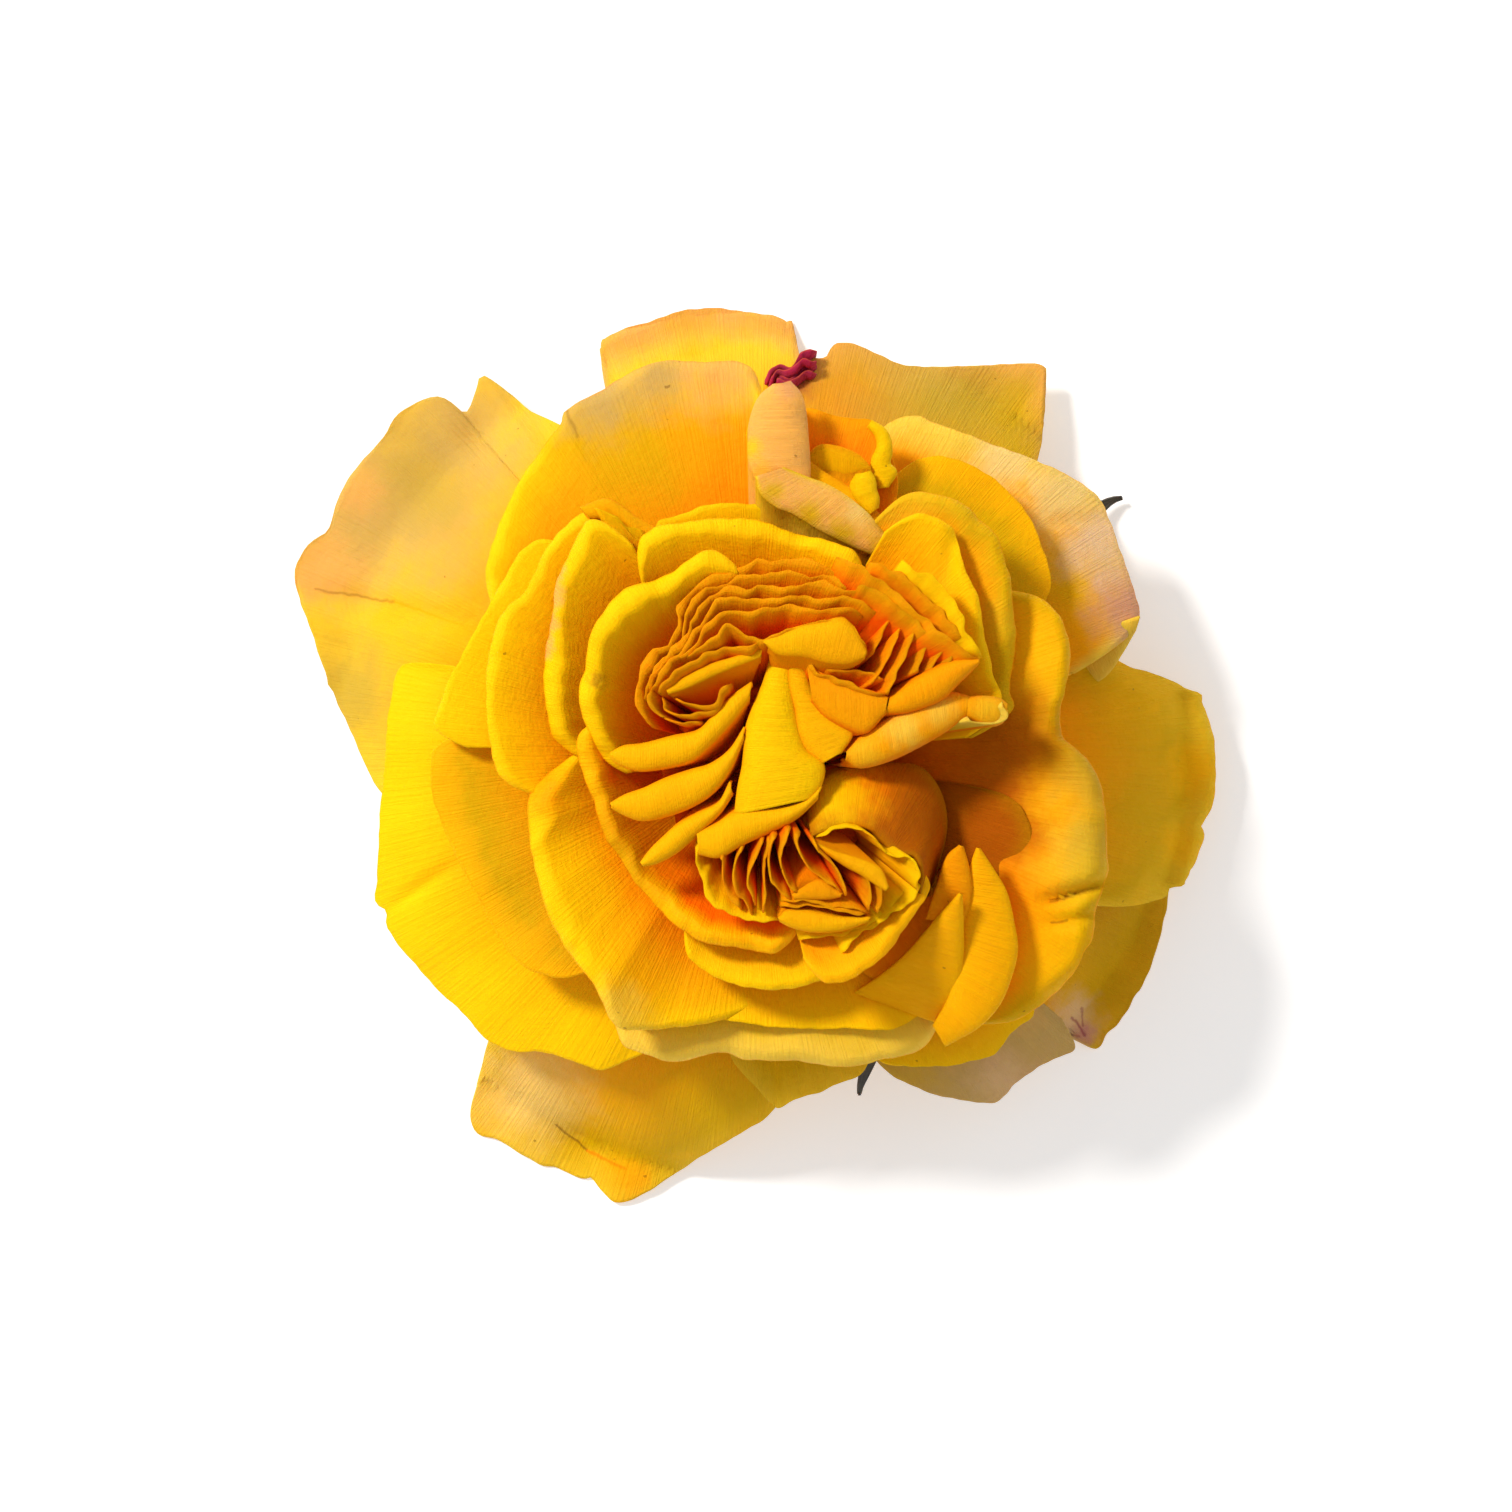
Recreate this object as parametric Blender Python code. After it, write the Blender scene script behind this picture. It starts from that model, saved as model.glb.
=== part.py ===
"""A cut rose bloom, fully open and very double, lying face up on the backs of its guard petals.

Every petal is a sheet on one family of nested cups. In the half-plane through the flower's axis a cup is a
rib that runs out from the point (0, CUP_Z). Its angle from straight up is its layer angle times flare(), so
a cup with a larger layer angle lies outside, and below, a cup with a smaller one, and no two ever cross.
A petal is given by its layer angle and by its rim as seen from above; the heights follow from its cup.
Outlines are drawn as an eye on the axis, EYE_Z above the surface, sees them on the plane at EYE_PLANE_Z.
Lengths are millimetres and angles are degrees until a mesh is made.
"""

import math

import bmesh
import bpy

MM = 0.001

# Driving dimensions
CUP_Z = 14.0  # height of the point that all the ribs run out from
RIB_START = 10.0  # where a petal's base stands on the receptacle
RIB_FULL = 55.0  # length at which a rib reaches its full layer angle
FLARE_START = 0.55  # share of the layer angle that a rib starts with
SEAT_GAP = 0.3  # between a piece and what carries it
PETAL_THICK = 0.6
CLAW_THICK = 0.3  # petals are thinner where they stand on the receptacle
CLAW_WIDTH = 0.30  # width of a petal's base, as a share of its full spread
CLAW_LENGTH = 0.55  # share of the rib over which the petal widens
ROLL_START = 0.72  # share of the rib after which a rim rolls outward
EYE_Z = 975.0
EYE_PLANE_Z = 25.0
STATIONS = 6  # rows of points from a petal's base to its rim

STEM_RADIUS = 2.6
STEM_TOP = 2.5
HIP_TOP = 9.0
CROWN_TILT = 28.0  # how far out the receptacle's flat crown reaches, from straight up
HEART_REACH_Z = 45.0  # height at which the outlines of the hearts are given
CORE_TOP = 40.5
RIBBON_FOOT = 38.5
RIBBON_THICK = 0.9
LOBE_BACK = ((0.22, 0.75), (0.5, 1.0), (0.78, 0.75))  # a lobe's section: (share across, share of its rise)

# Colours (linear), roughness
YELLOW = ((0.95, 0.62, 0.02), 0.55)
GOLD = ((0.90, 0.46, 0.02), 0.55)
ORANGE = ((0.80, 0.28, 0.02), 0.55)
PEACH = ((0.85, 0.50, 0.16), 0.6)
BLUSH = ((0.80, 0.52, 0.34), 0.6)
GREEN = ((0.13, 0.22, 0.05), 0.6)
SEPAL = ((0.10, 0.11, 0.04), 0.65)

# name: (layer angle, roll, colour, rim seen from above, in order round the axis)
PETALS = {
    # Guard petals, which droop to the surface that the bloom lies on
    "guard_top": (103.33, 0, PEACH, [
        (-19.2, 47.6), (-18.7, 52.3), (-13.3, 54.3), (-5.6, 56.0), (1.6, 55.1), (4.6, 53.2), (5.4, 49.5)]),
    "guard_top_right": (98.5, 0, GOLD, [
        (4.4, 46.0), (7.2, 49.6), (11.9, 51.5), (18.5, 48.9), (27.0, 48.6), (36.2, 47.7), (36.0, 42.9),
        (35.4, 36.8), (35.0, 33.0)]),
    "guard_upper_right": (91, 2.5, PEACH, [
        (15.0, 41.7), (20.0, 42.5), (26.2, 40.2), (35.4, 36.7), (41.9, 33.2), (44.8, 27.9), (47.1, 20.9),
        (48.0, 17.5), (44.2, 11.5)]),
    "guard_right": (96.8, 1, GOLD, [
        (41.0, 16.0), (49.2, 10.4), (54.2, 7.9), (56.9, 4.0), (57.5, -1.9), (56.6, -7.2), (54.3, -13.0),
        (51.0, -17.6), (42.7, -19.4)]),
    "guard_lower_right": (103.34, 0, GOLD, [
        (51.0, -14.0), (51.5, -18.0), (50.0, -24.2), (47.3, -30.3), (42.7, -36.5), (37.7, -34.2),
        (33.0, -32.5)]),
    "guard_blush": (95.2, 0, BLUSH, [
        (40.0, -34.0), (38.1, -37.4), (32.7, -40.5), (29.6, -43.3), (22.3, -42.2), (14.6, -39.2)]),
    "guard_low": (88.6, 0, YELLOW, [
        (34.5, -30.0), (31.9, -34.5), (29.0, -37.8), (22.3, -38.8), (16.0, -38.4)]),
    "guard_bottom": (98, 0, GOLD, [
        (13.4, -38.6), (12.0, -40.2), (8.1, -41.9), (2.9, -43.9), (-0.5, -41.0), (-3.2, -37.6)]),
    "guard_bottom_left": (102.82, 0, GOLD, [
        (3.1, -43.6), (-1.8, -47.0), (-9.5, -51.7), (-13.3, -54.2), (-17.4, -55.8), (-20.5, -52.8),
        (-26.8, -51.1), (-34.7, -47.2), (-34.9, -41.5), (-33.6, -34.0)]),
    "guard_left_lower": (93.5, 2, GOLD, [
        (-13.3, -37.8), (-19.3, -39.2), (-26.8, -36.9), (-33.9, -35.2), (-39.5, -29.4), (-45.6, -22.2),
        (-47.3, -16.0), (-46.9, -8.0), (-46.3, -0.5), (-45.3, 8.6), (-41.8, 11.0)]),
    "guard_left": (102.22, 0, GOLD, [
        (-46.0, -6.5), (-50.3, 2.5), (-54.1, 11.3), (-57.5, 22.0), (-55.3, 27.1), (-52.2, 32.1),
        (-46.8, 39.6), (-40.0, 44.9), (-34.3, 47.8), (-28.4, 43.3), (-24.3, 41.6)]),
    # Outer petals, which make the wide saucer
    "outer_upper_left": (83, 4, GOLD, [
        (0.6, 43.4), (-0.6, 48.4), (-6.4, 49.2), (-13.3, 49.0), (-18.7, 46.1), (-23.9, 42.8), (-28.0, 36.7),
        (-31.4, 30.6), (-33.8, 23.5), (-33.7, 19.8)]),
    "outer_top_small": (78, 0, GOLD, [
        (17.4, 35.6), (15.8, 40.6), (11.9, 42.2), (6.0, 43.3), (2.0, 42.0)]),
    "outer_top_fold": (71.5, 2, PEACH, [
        (19.2, 24.4), (16.4, 27.8), (11.9, 32.1), (7.6, 34.3), (6.3, 40.5), (4.8, 46.3), (1.9, 46.1),
        (-0.7, 42.1)]),
    "outer_upper_right_orange": (83.5, 0, ORANGE, [
        (37.1, 19.4), (35.8, 25.9), (32.7, 31.7), (26.9, 36.3), (21.2, 37.3), (17.0, 35.5)]),
    "outer_upper_right": (66, 2, YELLOW, [
        (31.6, 4.6), (32.0, 11.0), (32.2, 18.2), (30.8, 25.2), (27.7, 29.8), (23.1, 32.5), (18.6, 32.4)]),
    "outer_right": (74.5, 4, PEACH, [
        (31.2, -34.2), (36.9, -30.1), (42.0, -23.0), (43.9, -14.5), (43.6, -7.0), (41.9, -1.1), (38.4, 1.9),
        (38.3, 8.2), (39.1, 14.0), (36.6, 19.0), (31.5, 21.0)]),
    "outer_bottom": (81, 3, PEACH, [
        (-17.2, -34.5), (-13.3, -37.4), (-4.1, -37.4), (5.0, -38.1), (11.9, -38.8), (20.0, -36.9),
        (23.2, -32.5), (23.9, -28.5)]),
    "outer_lower_left": (80.5, 0, GOLD, [
        (-40.6, 0.5), (-40.3, -5.3), (-37.6, -12.2), (-33.4, -20.3), (-28.7, -26.5), (-21.8, -27.8)]),
    "outer_left": (75, 1.5, YELLOW, [
        (-25.6, 25.9), (-29.9, 24.6), (-34.9, 15.9), (-38.4, 9.4), (-40.6, 3.0), (-37.0, 0.2)]),
    "outer_lip_right": (68, 0, GOLD, [
        (25.9, -34.0), (31.2, -30.5), (32.4, -24.2), (31.4, -17.2), (28.2, -12.0)]),
    # Middle petals, which stand more upright
    "middle_left_a": (69.5, 1, GOLD, [
        (-20.6, 31.3), (-24.9, 27.5), (-28.2, 21.3), (-32.6, 15.9), (-33.7, 8.2), (-33.0, 0.0)]),
    "middle_left_b": (63.5, 1, GOLD, [
        (-19.0, 29.8), (-22.6, 26.7), (-25.0, 20.8), (-26.3, 12.9), (-26.2, 6.0)]),
    "middle_lower_left": (70.5, 2, YELLOW, [
        (-25.2, -1.2), (-28.4, -6.5), (-27.6, -13.5), (-25.5, -21.0), (-20.0, -29.0), (-16.0, -33.6)]),
    "middle_top_a": (64.5, 0, GOLD, [(2.6, 31.2), (-1.8, 31.6), (-6.4, 31.3), (-13.0, 29.1)]),
    "middle_top_b": (58.8, 1, YELLOW, [
        (8.0, 27.6), (4.0, 28.4), (-0.3, 29.6), (-6.2, 29.5), (-12.6, 28.2)]),
    "middle_right": (59, 0, ORANGE, [
        (29.4, -18.0), (33.6, -14.0), (34.2, -9.0), (31.0, -5.2), (25.8, -4.0)]),
    "middle_lower_right": (63.4, 1, GOLD, [
        (20.6, -25.6), (24.9, -23.0), (26.2, -17.0), (25.8, -11.4)]),
    "middle_bottom": (61.5, 2, YELLOW, [
        (-7.4, -26.0), (-2.8, -28.4), (2.2, -29.2), (8.0, -28.2), (10.6, -26.2)]),
    # Ring petals, which hold the two hearts
    "ring_left": (51.6, 1, YELLOW, [
        (-7.6, 24.9), (-13.0, 21.9), (-18.7, 18.4), (-20.9, 14.0), (-22.1, 7.7), (-20.6, 2.6)]),
    "ring_lower_left": (54.5, 2, YELLOW, [
        (-22.7, 2.6), (-21.3, -3.0), (-19.2, -9.0), (-15.2, -15.5), (-9.8, -21.3), (-4.9, -23.9),
        (1.8, -24.8), (5.7, -23.2)]),
    "ring_lower_right": (54.4, 0.5, GOLD, [
        (10.8, -28.2), (14.9, -26.3), (19.2, -21.4), (22.4, -16.0), (24.2, -9.0), (24.0, -3.6)]),
}

SEPALS = {  # name: (layer angle, azimuth of the base, azimuth of the tip, reach of the tip from the axis)
    "sepal_1": (102.3, 25, 35.2, 56.0),
    "sepal_2": (119, 92, 101, 36.0),
    "sepal_3": (117, 164, 172, 38.0),
    "sepal_4": (118, 236, 228, 37.0),
    "sepal_5": (109, 308, 287, 44.2),
}
SEPAL_WIDTH = 7.5
SEPAL_THICK = 0.8

# Outlines of the hearts' cores at HEART_REACH_Z, anticlockwise from above
UPPER_OUTLINE = [
    (11, -1.2), (15.4, -0.4), (20, 1.7), (26, 4.8), (30.4, 7), (28.4, 12), (27, 15.8), (24.6, 20.2),
    (20.4, 22.8), (14, 24.4), (8, 24.8), (2, 25.1), (-4, 23.6), (-8.4, 21), (-9.8, 17.4), (-12.9, 14),
    (-14.8, 10.4), (-15.4, 6.4), (-12.6, 4.4), (-8.6, 4.2), (-4, 5.9), (0, 7.2), (4, 6.6), (7.6, 4),
    (9.4, 0.6)]
LOWER_OUTLINE = [
    (9.8, -3.6), (6.2, -8.2), (2, -10.4), (-3.2, -10.9), (-7.4, -11.6), (-7.8, -16), (-5.6, -20),
    (-2, -21.6), (3, -22.6), (7, -22.4), (10.4, -24.4), (12.2, -26), (15.4, -23.8), (18.4, -19.8),
    (21.4, -14.8), (22.8, -9), (22.8, -4.6), (21.2, -2.2), (15.4, -2)]
FINGER_OUTLINE = [
    (8, -2.8), (6.6, 2.8), (3.8, 5.2), (-1, 5.8), (-5, 3.8), (-9, 2.9), (-13, 1.8), (-17.4, 1.2),
    (-18.6, -0.6), (-17.4, -3.6), (-18.4, -6.2), (-15.4, -8.8), (-15.2, -13), (-12.4, -13.8),
    (-7.6, -10.6), (-2, -9.6), (4.6, -7.6)]

# Folded petal edges that stand out of each heart: (height of the rim, points seen from above)
UPPER_RIBBONS = [
    (44.5, [(-15.0, 6.9), (-14.1, 10.6), (-12.4, 13.5), (-9.6, 16.7), (-9.2, 19.8), (-6.0, 22.4),
            (-2.4, 23.5), (3.2, 24.7), (9.5, 23.8), (13.6, 22.5)]),
    (45.5, [(-4.3, 21.6), (0.9, 21.9), (8.0, 22.0), (12.0, 21.0)]),
    (46.0, [(-8.2, 16.6), (-5.3, 19.2), (-2.4, 20.1), (1.9, 19.6), (5.5, 20.2), (11.1, 19.8), (14.4, 18.2)]),
    (46.5, [(-7.4, 13.6), (-6.2, 16.7), (-3.3, 18.0), (0.9, 18.5), (3.4, 19.0)]),
    (47.5, [(-9.0, 12.4), (-5.3, 14.8), (-3.5, 16.4), (0.5, 14.3), (4.3, 15.9), (9.4, 17.1), (11.6, 16.9),
            (13.7, 14.2), (13.0, 12.1), (9.7, 11.4), (6.8, 12.4), (3.2, 12.5)]),
    (47.0, [(-12.4, 8.2), (-8.2, 10.6), (-3.7, 12.2), (0.5, 13.0)]),
    (46.0, [(-10.2, 7.7), (-6.2, 6.7), (-3.4, 8.2), (-2.0, 10.6)]),
    (45.0, [(-13.0, 8.0), (-12.0, 5.4), (-8.4, 5.0), (-4.1, 7.0)]),
    (46.5, [(14.6, 23.3), (20.3, 17.9), (24.2, 14.3), (27.8, 12.1)]),
    (46.0, [(18.8, 22.8), (22.2, 21.3), (24.6, 19.2), (26.8, 14.6)]),
    (45.5, [(20.1, 15.2), (18.8, 12.2), (17.0, 8.4)]),
    (45.0, [(22.8, 13.8), (21.1, 11.2), (20.4, 9.6)]),
    (46.0, [(7.8, 10.2), (12.2, 8.2), (16.0, 7.8)]),
    (45.0, [(6.8, 7.1), (8.8, 4.4), (11.4, 3.6), (14.6, 4.4)]),
]
UPPER_LOBES = [  # (edge height, rise of the back, one edge, the other edge)
    (43.5, 2.2, [(15.8, 5.4), (20.0, 5.4), (23.9, 6.4), (27.6, 10.6)],
     [(16.2, 6.6), (20.0, 9.2), (23.9, 11.2), (27.9, 11.6)]),
    (42.5, 2.4, [(11.2, -0.8), (15.4, 0.0), (19.8, 1.9), (25.8, 5.0), (29.8, 6.6)],
     [(11.6, 1.2), (15.4, 3.4), (20.0, 5.2), (24.2, 6.9), (28.8, 7.3)]),
]
LOWER_RIBBONS = [
    (44.0, [(-7.0, -12.2), (-7.0, -16.1), (-4.6, -19.6), (-0.4, -20.9), (3.4, -20.4)]),
    (45.0, [(-4.6, -12.4), (-3.6, -17.2), (-0.6, -19.0)]),
    (45.5, [(-1.8, -11.6), (-1.2, -16.0), (0.2, -18.4)]),
    (46.0, [(2.0, -11.2), (1.2, -14.8), (1.4, -18.2)]),
    (46.5, [(3.6, -10.6), (2.6, -13.6), (3.6, -17.0), (7.6, -17.4), (10.9, -17.0)]),
    (47.0, [(5.3, -9.6), (5.8, -12.2), (8.0, -14.7), (11.1, -16.2)]),
    (47.5, [(7.6, -12.4), (10.6, -12.6), (15.4, -14.0), (16.0, -16.0), (14.3, -18.6), (11.3, -19.4),
            (7.6, -18.6), (4.4, -18.4)]),
    (45.5, [(2.8, -20.4), (7.6, -20.2), (14.2, -20.4)]),
    (44.5, [(6.4, -22.0), (11.2, -22.4), (15.6, -21.4), (18.6, -18.2)]),
]
LOWER_LOBES = [
    (43.0, 3.6, [(7.6, -9.8), (11.0, -9.0), (15.0, -10.4), (18.4, -12.8), (20.4, -15.4), (20.2, -18.0)],
     [(9.6, -4.4), (14.6, -2.6), (20.6, -3.0), (22.2, -6.6), (22.2, -12.0), (21.4, -16.0)]),
    (44.5, 1.6, [(11.6, -25.0), (15.0, -23.2), (18.0, -19.6), (20.0, -16.6)],
     [(10.6, -23.4), (13.6, -21.6), (16.2, -18.9), (17.9, -16.3)]),
]
FINGER_LOBES = [
    (44.5, 1.8, [(-17.9, 0.5), (-14.0, 1.4), (-8.6, 2.7), (-4.0, 4.3), (-0.6, 5.4)],
     [(-17.7, -0.5), (-13.6, -1.7), (-8.4, -1.0), (-4.0, 1.2), (-1.4, 3.2)]),
    (44.5, 1.8, [(-17.6, -5.6), (-13.0, -3.6), (-8.8, -2.2), (-5.0, -1.4), (-2.2, 0.2)],
     [(-17.6, -6.7), (-13.2, -7.9), (-9.0, -6.4), (-5.4, -4.8), (-3.2, -2.8)]),
    (44.5, 1.8, [(-13.9, -12.9), (-10.8, -9.4), (-7.4, -7.4), (-4.0, -5.8)],
     [(-13.5, -13.3), (-9.6, -12.1), (-6.6, -10.0), (-4.0, -7.8)]),
    (44.5, 2.4, [(-4.0, -9.2), (1.0, -9.0), (4.6, -7.2), (7.4, -4.2), (7.6, -2.4)],
     [(-3.6, -7.4), (-1.6, -3.8), (-0.4, 0.8), (1.6, 4.2), (3.4, 4.9)]),
]


def flare(rib):
    """The share of its layer angle that a rib has reached at this length."""
    return FLARE_START + (1 - FLARE_START) * (min(rib, RIB_FULL) / RIB_FULL) ** 1.5


def on_cup(azimuth, rib, tilt):
    """A point at this length along a rib that leans this far from straight up."""
    reach = rib * math.sin(tilt)
    return (reach * math.cos(azimuth), reach * math.sin(azimuth), CUP_Z + rib * math.cos(tilt))


def nearer(z):
    """How much narrower than its outline a thing at the height z is, because the eye is nearer to it."""
    return (EYE_Z - z) / (EYE_Z - EYE_PLANE_Z)


def rib_to(reach, layer):
    """The length at which the rib of a layer is seen this far from the axis."""
    rib = reach
    for _ in range(30):
        tilt = math.radians(layer) * flare(rib)
        rib += reach * nearer(CUP_Z + rib * math.cos(tilt)) - rib * math.sin(tilt)
    return rib


def fall(point, top, z):
    """Where the cup through a point seen at the height top passes the height z."""
    x, y = (c * nearer(top) for c in point)
    reach = math.hypot(x, y)
    tilt = math.atan2(reach, top - CUP_Z)
    layer = tilt / flare(math.hypot(reach, top - CUP_Z))
    for _ in range(12):
        tilt = layer * flare((z - CUP_Z) / math.cos(tilt))
    scale = (z - CUP_Z) * math.tan(tilt) / max(reach, 1e-6)
    return (x * scale, y * scale, z)


def unwrapped(angles):
    """The same angles in radians, each within half a turn of the one before."""
    out = angles[:1]
    for angle in angles[1:]:
        out.append(out[-1] + math.remainder(angle - out[-1], math.tau))
    return out


def add_object(name, mesh_data, colour):
    """A named object from a bmesh in millimetres, in its own material."""
    bmesh.ops.scale(mesh_data, vec=(MM, MM, MM), verts=mesh_data.verts)
    bmesh.ops.recalc_face_normals(mesh_data, faces=mesh_data.faces)
    mesh = bpy.data.meshes.new(name)
    mesh_data.to_mesh(mesh)
    mesh_data.free()
    mesh.shade_smooth()
    if colour:
        material = bpy.data.materials.new(name)
        material.use_nodes = True
        shader = material.node_tree.nodes["Principled BSDF"]
        shader.inputs["Base Color"].default_value = (*colour[0], 1)
        shader.inputs["Roughness"].default_value = colour[1]
        shader.inputs["Metallic"].default_value = 0
        mesh.materials.append(material)
    obj = bpy.data.objects.new(name, mesh)
    bpy.context.scene.collection.objects.link(obj)
    return obj


def closed_grid(mesh_data, upper, lower):
    """One closed body between two grids of points, joined round their edges."""
    rows, columns = len(upper), len(upper[0])
    top = [[mesh_data.verts.new(p) for p in row] for row in upper]
    base = [[mesh_data.verts.new(p) for p in row] for row in lower]
    for i in range(rows - 1):
        for j in range(columns - 1):
            mesh_data.faces.new((top[i][j], top[i][j + 1], top[i + 1][j + 1], top[i + 1][j]))
            mesh_data.faces.new((base[i][j], base[i + 1][j], base[i + 1][j + 1], base[i][j + 1]))
    edge = [(0, j) for j in range(columns)] + [(i, columns - 1) for i in range(1, rows)]
    edge += [(rows - 1, j) for j in range(columns - 2, -1, -1)] + [(i, 0) for i in range(rows - 2, 0, -1)]
    for (i, j), (k, m) in zip(edge, edge[1:] + edge[:1]):
        mesh_data.faces.new((top[i][j], base[i][j], base[k][m], top[k][m]))


def make_petal(name, layer, roll, colour, rim):
    """A petal on the cup of its layer, from a narrow claw out to its rim."""
    azimuths = unwrapped([math.atan2(y, x) for x, y in rim])
    ribs = [rib_to(math.hypot(x, y), layer) for x, y in rim]
    middle = (azimuths[0] + azimuths[-1]) / 2
    upper, lower = [], []
    for i in range(STATIONS):
        along = i / (STATIONS - 1)
        width = CLAW_WIDTH + (1 - CLAW_WIDTH) * math.sin(min(along / CLAW_LENGTH, 1) * math.pi / 2)
        rolled = math.radians(roll) * max(0, (along - ROLL_START) / (1 - ROLL_START)) ** 2
        thick = CLAW_THICK + (PETAL_THICK - CLAW_THICK) * min(1, 3 * along)
        row = [(middle + (a - middle) * width, RIB_START + (rib - RIB_START) * along)
               for a, rib in zip(azimuths, ribs)]
        tilts = [math.radians(layer) * flare(rib) + rolled for _, rib in row]
        upper.append([on_cup(a, rib, t - thick / 2 / rib) for (a, rib), t in zip(row, tilts)])
        lower.append([on_cup(a, rib, t + thick / 2 / rib) for (a, rib), t in zip(row, tilts)])
    body = bmesh.new()
    closed_grid(body, upper, lower)
    add_object(name, body, colour)


def make_sepal(name, layer, base, tip, reach):
    """A slender sepal that tapers to a point and curves round towards its tip."""
    length = rib_to(reach, layer)
    upper, lower = [], []
    for i in range(STATIONS + 2):
        along = i / (STATIONS + 1)
        rib = RIB_START + (length - RIB_START) * along
        azimuth = math.radians(base + (tip - base) * along**2)
        half = SEPAL_WIDTH / 2 * (1 - along) ** 0.6 * (0.75 + along) + 0.25
        tilt = math.radians(layer) * flare(rib)
        spread = [azimuth - half / rib, azimuth, azimuth + half / rib]
        thick = SEPAL_THICK / 2 / rib
        upper.append([on_cup(a, rib, tilt - thick) for a in spread])
        lower.append([on_cup(a, rib, tilt + thick) for a in spread])
    body = bmesh.new()
    closed_grid(body, upper, lower)
    add_object(name, body, SEPAL)


def make_turned(name, colour, profile, sides=28):
    """A solid turned about the axis from (radius, height) points, lowest first."""
    body = bmesh.new()
    rings = [[body.verts.new((r * math.cos(a), r * math.sin(a), z))
              for a in (math.tau * k / sides for k in range(sides))] for r, z in profile]
    for low, high in zip(rings, rings[1:]):
        for k in range(sides):
            n = (k + 1) % sides
            body.faces.new((low[k], low[n], high[n], high[k]))
    body.faces.new(rings[0][::-1])
    body.faces.new(rings[-1])
    add_object(name, body, colour)


def core_body(outline):
    """The packed petal bases of a heart, from the receptacle up to a low crown."""
    foot = CUP_Z + RIB_START * math.cos(math.radians(CROWN_TILT))
    body = bmesh.new()
    heights = [foot + (CORE_TOP - 1.5 - foot) * k / 3 for k in range(4)]
    rings = [[body.verts.new(fall(p, HEART_REACH_Z, z)) for p in outline] for z in heights]
    for low, high in zip(rings, rings[1:]):
        for k in range(len(outline)):
            n = (k + 1) % len(outline)
            body.faces.new((low[k], low[n], high[n], high[k]))
    body.faces.new(rings[0][::-1])
    cap = body.faces.new(rings[-1])
    inner = bmesh.ops.inset_individual(body, faces=[cap], thickness=1.6)["faces"]
    for vert in cap.verts:
        vert.co.z = CORE_TOP
    bmesh.ops.triangulate(body, faces=[cap] + inner)
    return body


def ribbon_body(height, points):
    """The upright folded edge of a petal, its foot sunk in the core."""
    upper, lower = [], []
    for i, (x, y) in enumerate(points):
        before, after = points[max(i - 1, 0)], points[min(i + 1, len(points) - 1)]
        run = math.hypot(after[0] - before[0], after[1] - before[1])
        half = RIBBON_THICK / 2 / run
        side = ((before[1] - after[1]) * half, (after[0] - before[0]) * half)
        for wall, sign in ((upper, 1), (lower, -1)):
            rim = (x + sign * side[0], y + sign * side[1])
            wall.append([fall(rim, height, height), fall(rim, height, RIBBON_FOOT)])
    body = bmesh.new()
    closed_grid(body, upper, lower)
    return body


def lobe_body(height, rise, edge, other):
    """A petal rolled back along its length, so that a rounded back shows between its two edges."""
    sections = []
    for a, b in zip(edge, other):
        section = [fall(a, height, RIBBON_FOOT), fall(a, height, height)]
        for across, lift in LOBE_BACK:
            back = (a[0] + (b[0] - a[0]) * across, a[1] + (b[1] - a[1]) * across)
            x, y, z = fall(back, height, height)
            section.append((x, y, z + rise * lift))
        sections.append(section + [fall(b, height, height), fall(b, height, RIBBON_FOOT)])
    body = bmesh.new()
    rings = [[body.verts.new(p) for p in section] for section in sections]
    for near, far in zip(rings, rings[1:]):
        for k in range(len(near)):
            n = (k + 1) % len(near)
            body.faces.new((near[k], near[n], far[n], far[k]))
    for ring in (rings[0][::-1], rings[-1]):
        for k in range(len(ring) // 2 - 1):
            body.faces.new((ring[k], ring[k + 1], ring[-k - 2], ring[-k - 1]))
        middle = len(ring) // 2
        body.faces.new(ring[middle - 1:middle + 2])
    bmesh.ops.triangulate(body, faces=body.faces)
    return body


def make_heart(name, colour, outline, ribbons, lobes):
    """A mass of folded petals: one core with ribbons and lobes that stand out of it, all fused."""
    heart = add_object(name, core_body(outline), colour)
    parts = [ribbon_body(*ribbon) for ribbon in ribbons] + [lobe_body(*lobe) for lobe in lobes]
    pieces = bpy.data.collections.new(name + "_pieces")
    bpy.context.scene.collection.children.link(pieces)
    for k, part in enumerate(parts):
        piece = add_object(f"{name}_{k}", part, None)
        bpy.context.scene.collection.objects.unlink(piece)
        pieces.objects.link(piece)
    union = heart.modifiers.new("fused", "BOOLEAN")
    union.operation = "UNION"
    union.operand_type = "COLLECTION"
    union.collection = pieces
    union.solver = "EXACT"
    bpy.context.view_layer.update()
    fused = bpy.data.meshes.new_from_object(heart.evaluated_get(bpy.context.evaluated_depsgraph_get()))
    heart.modifiers.clear()
    heart.data = fused
    for piece in list(pieces.objects):
        bpy.data.objects.remove(piece)
    bpy.data.collections.remove(pieces)


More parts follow.
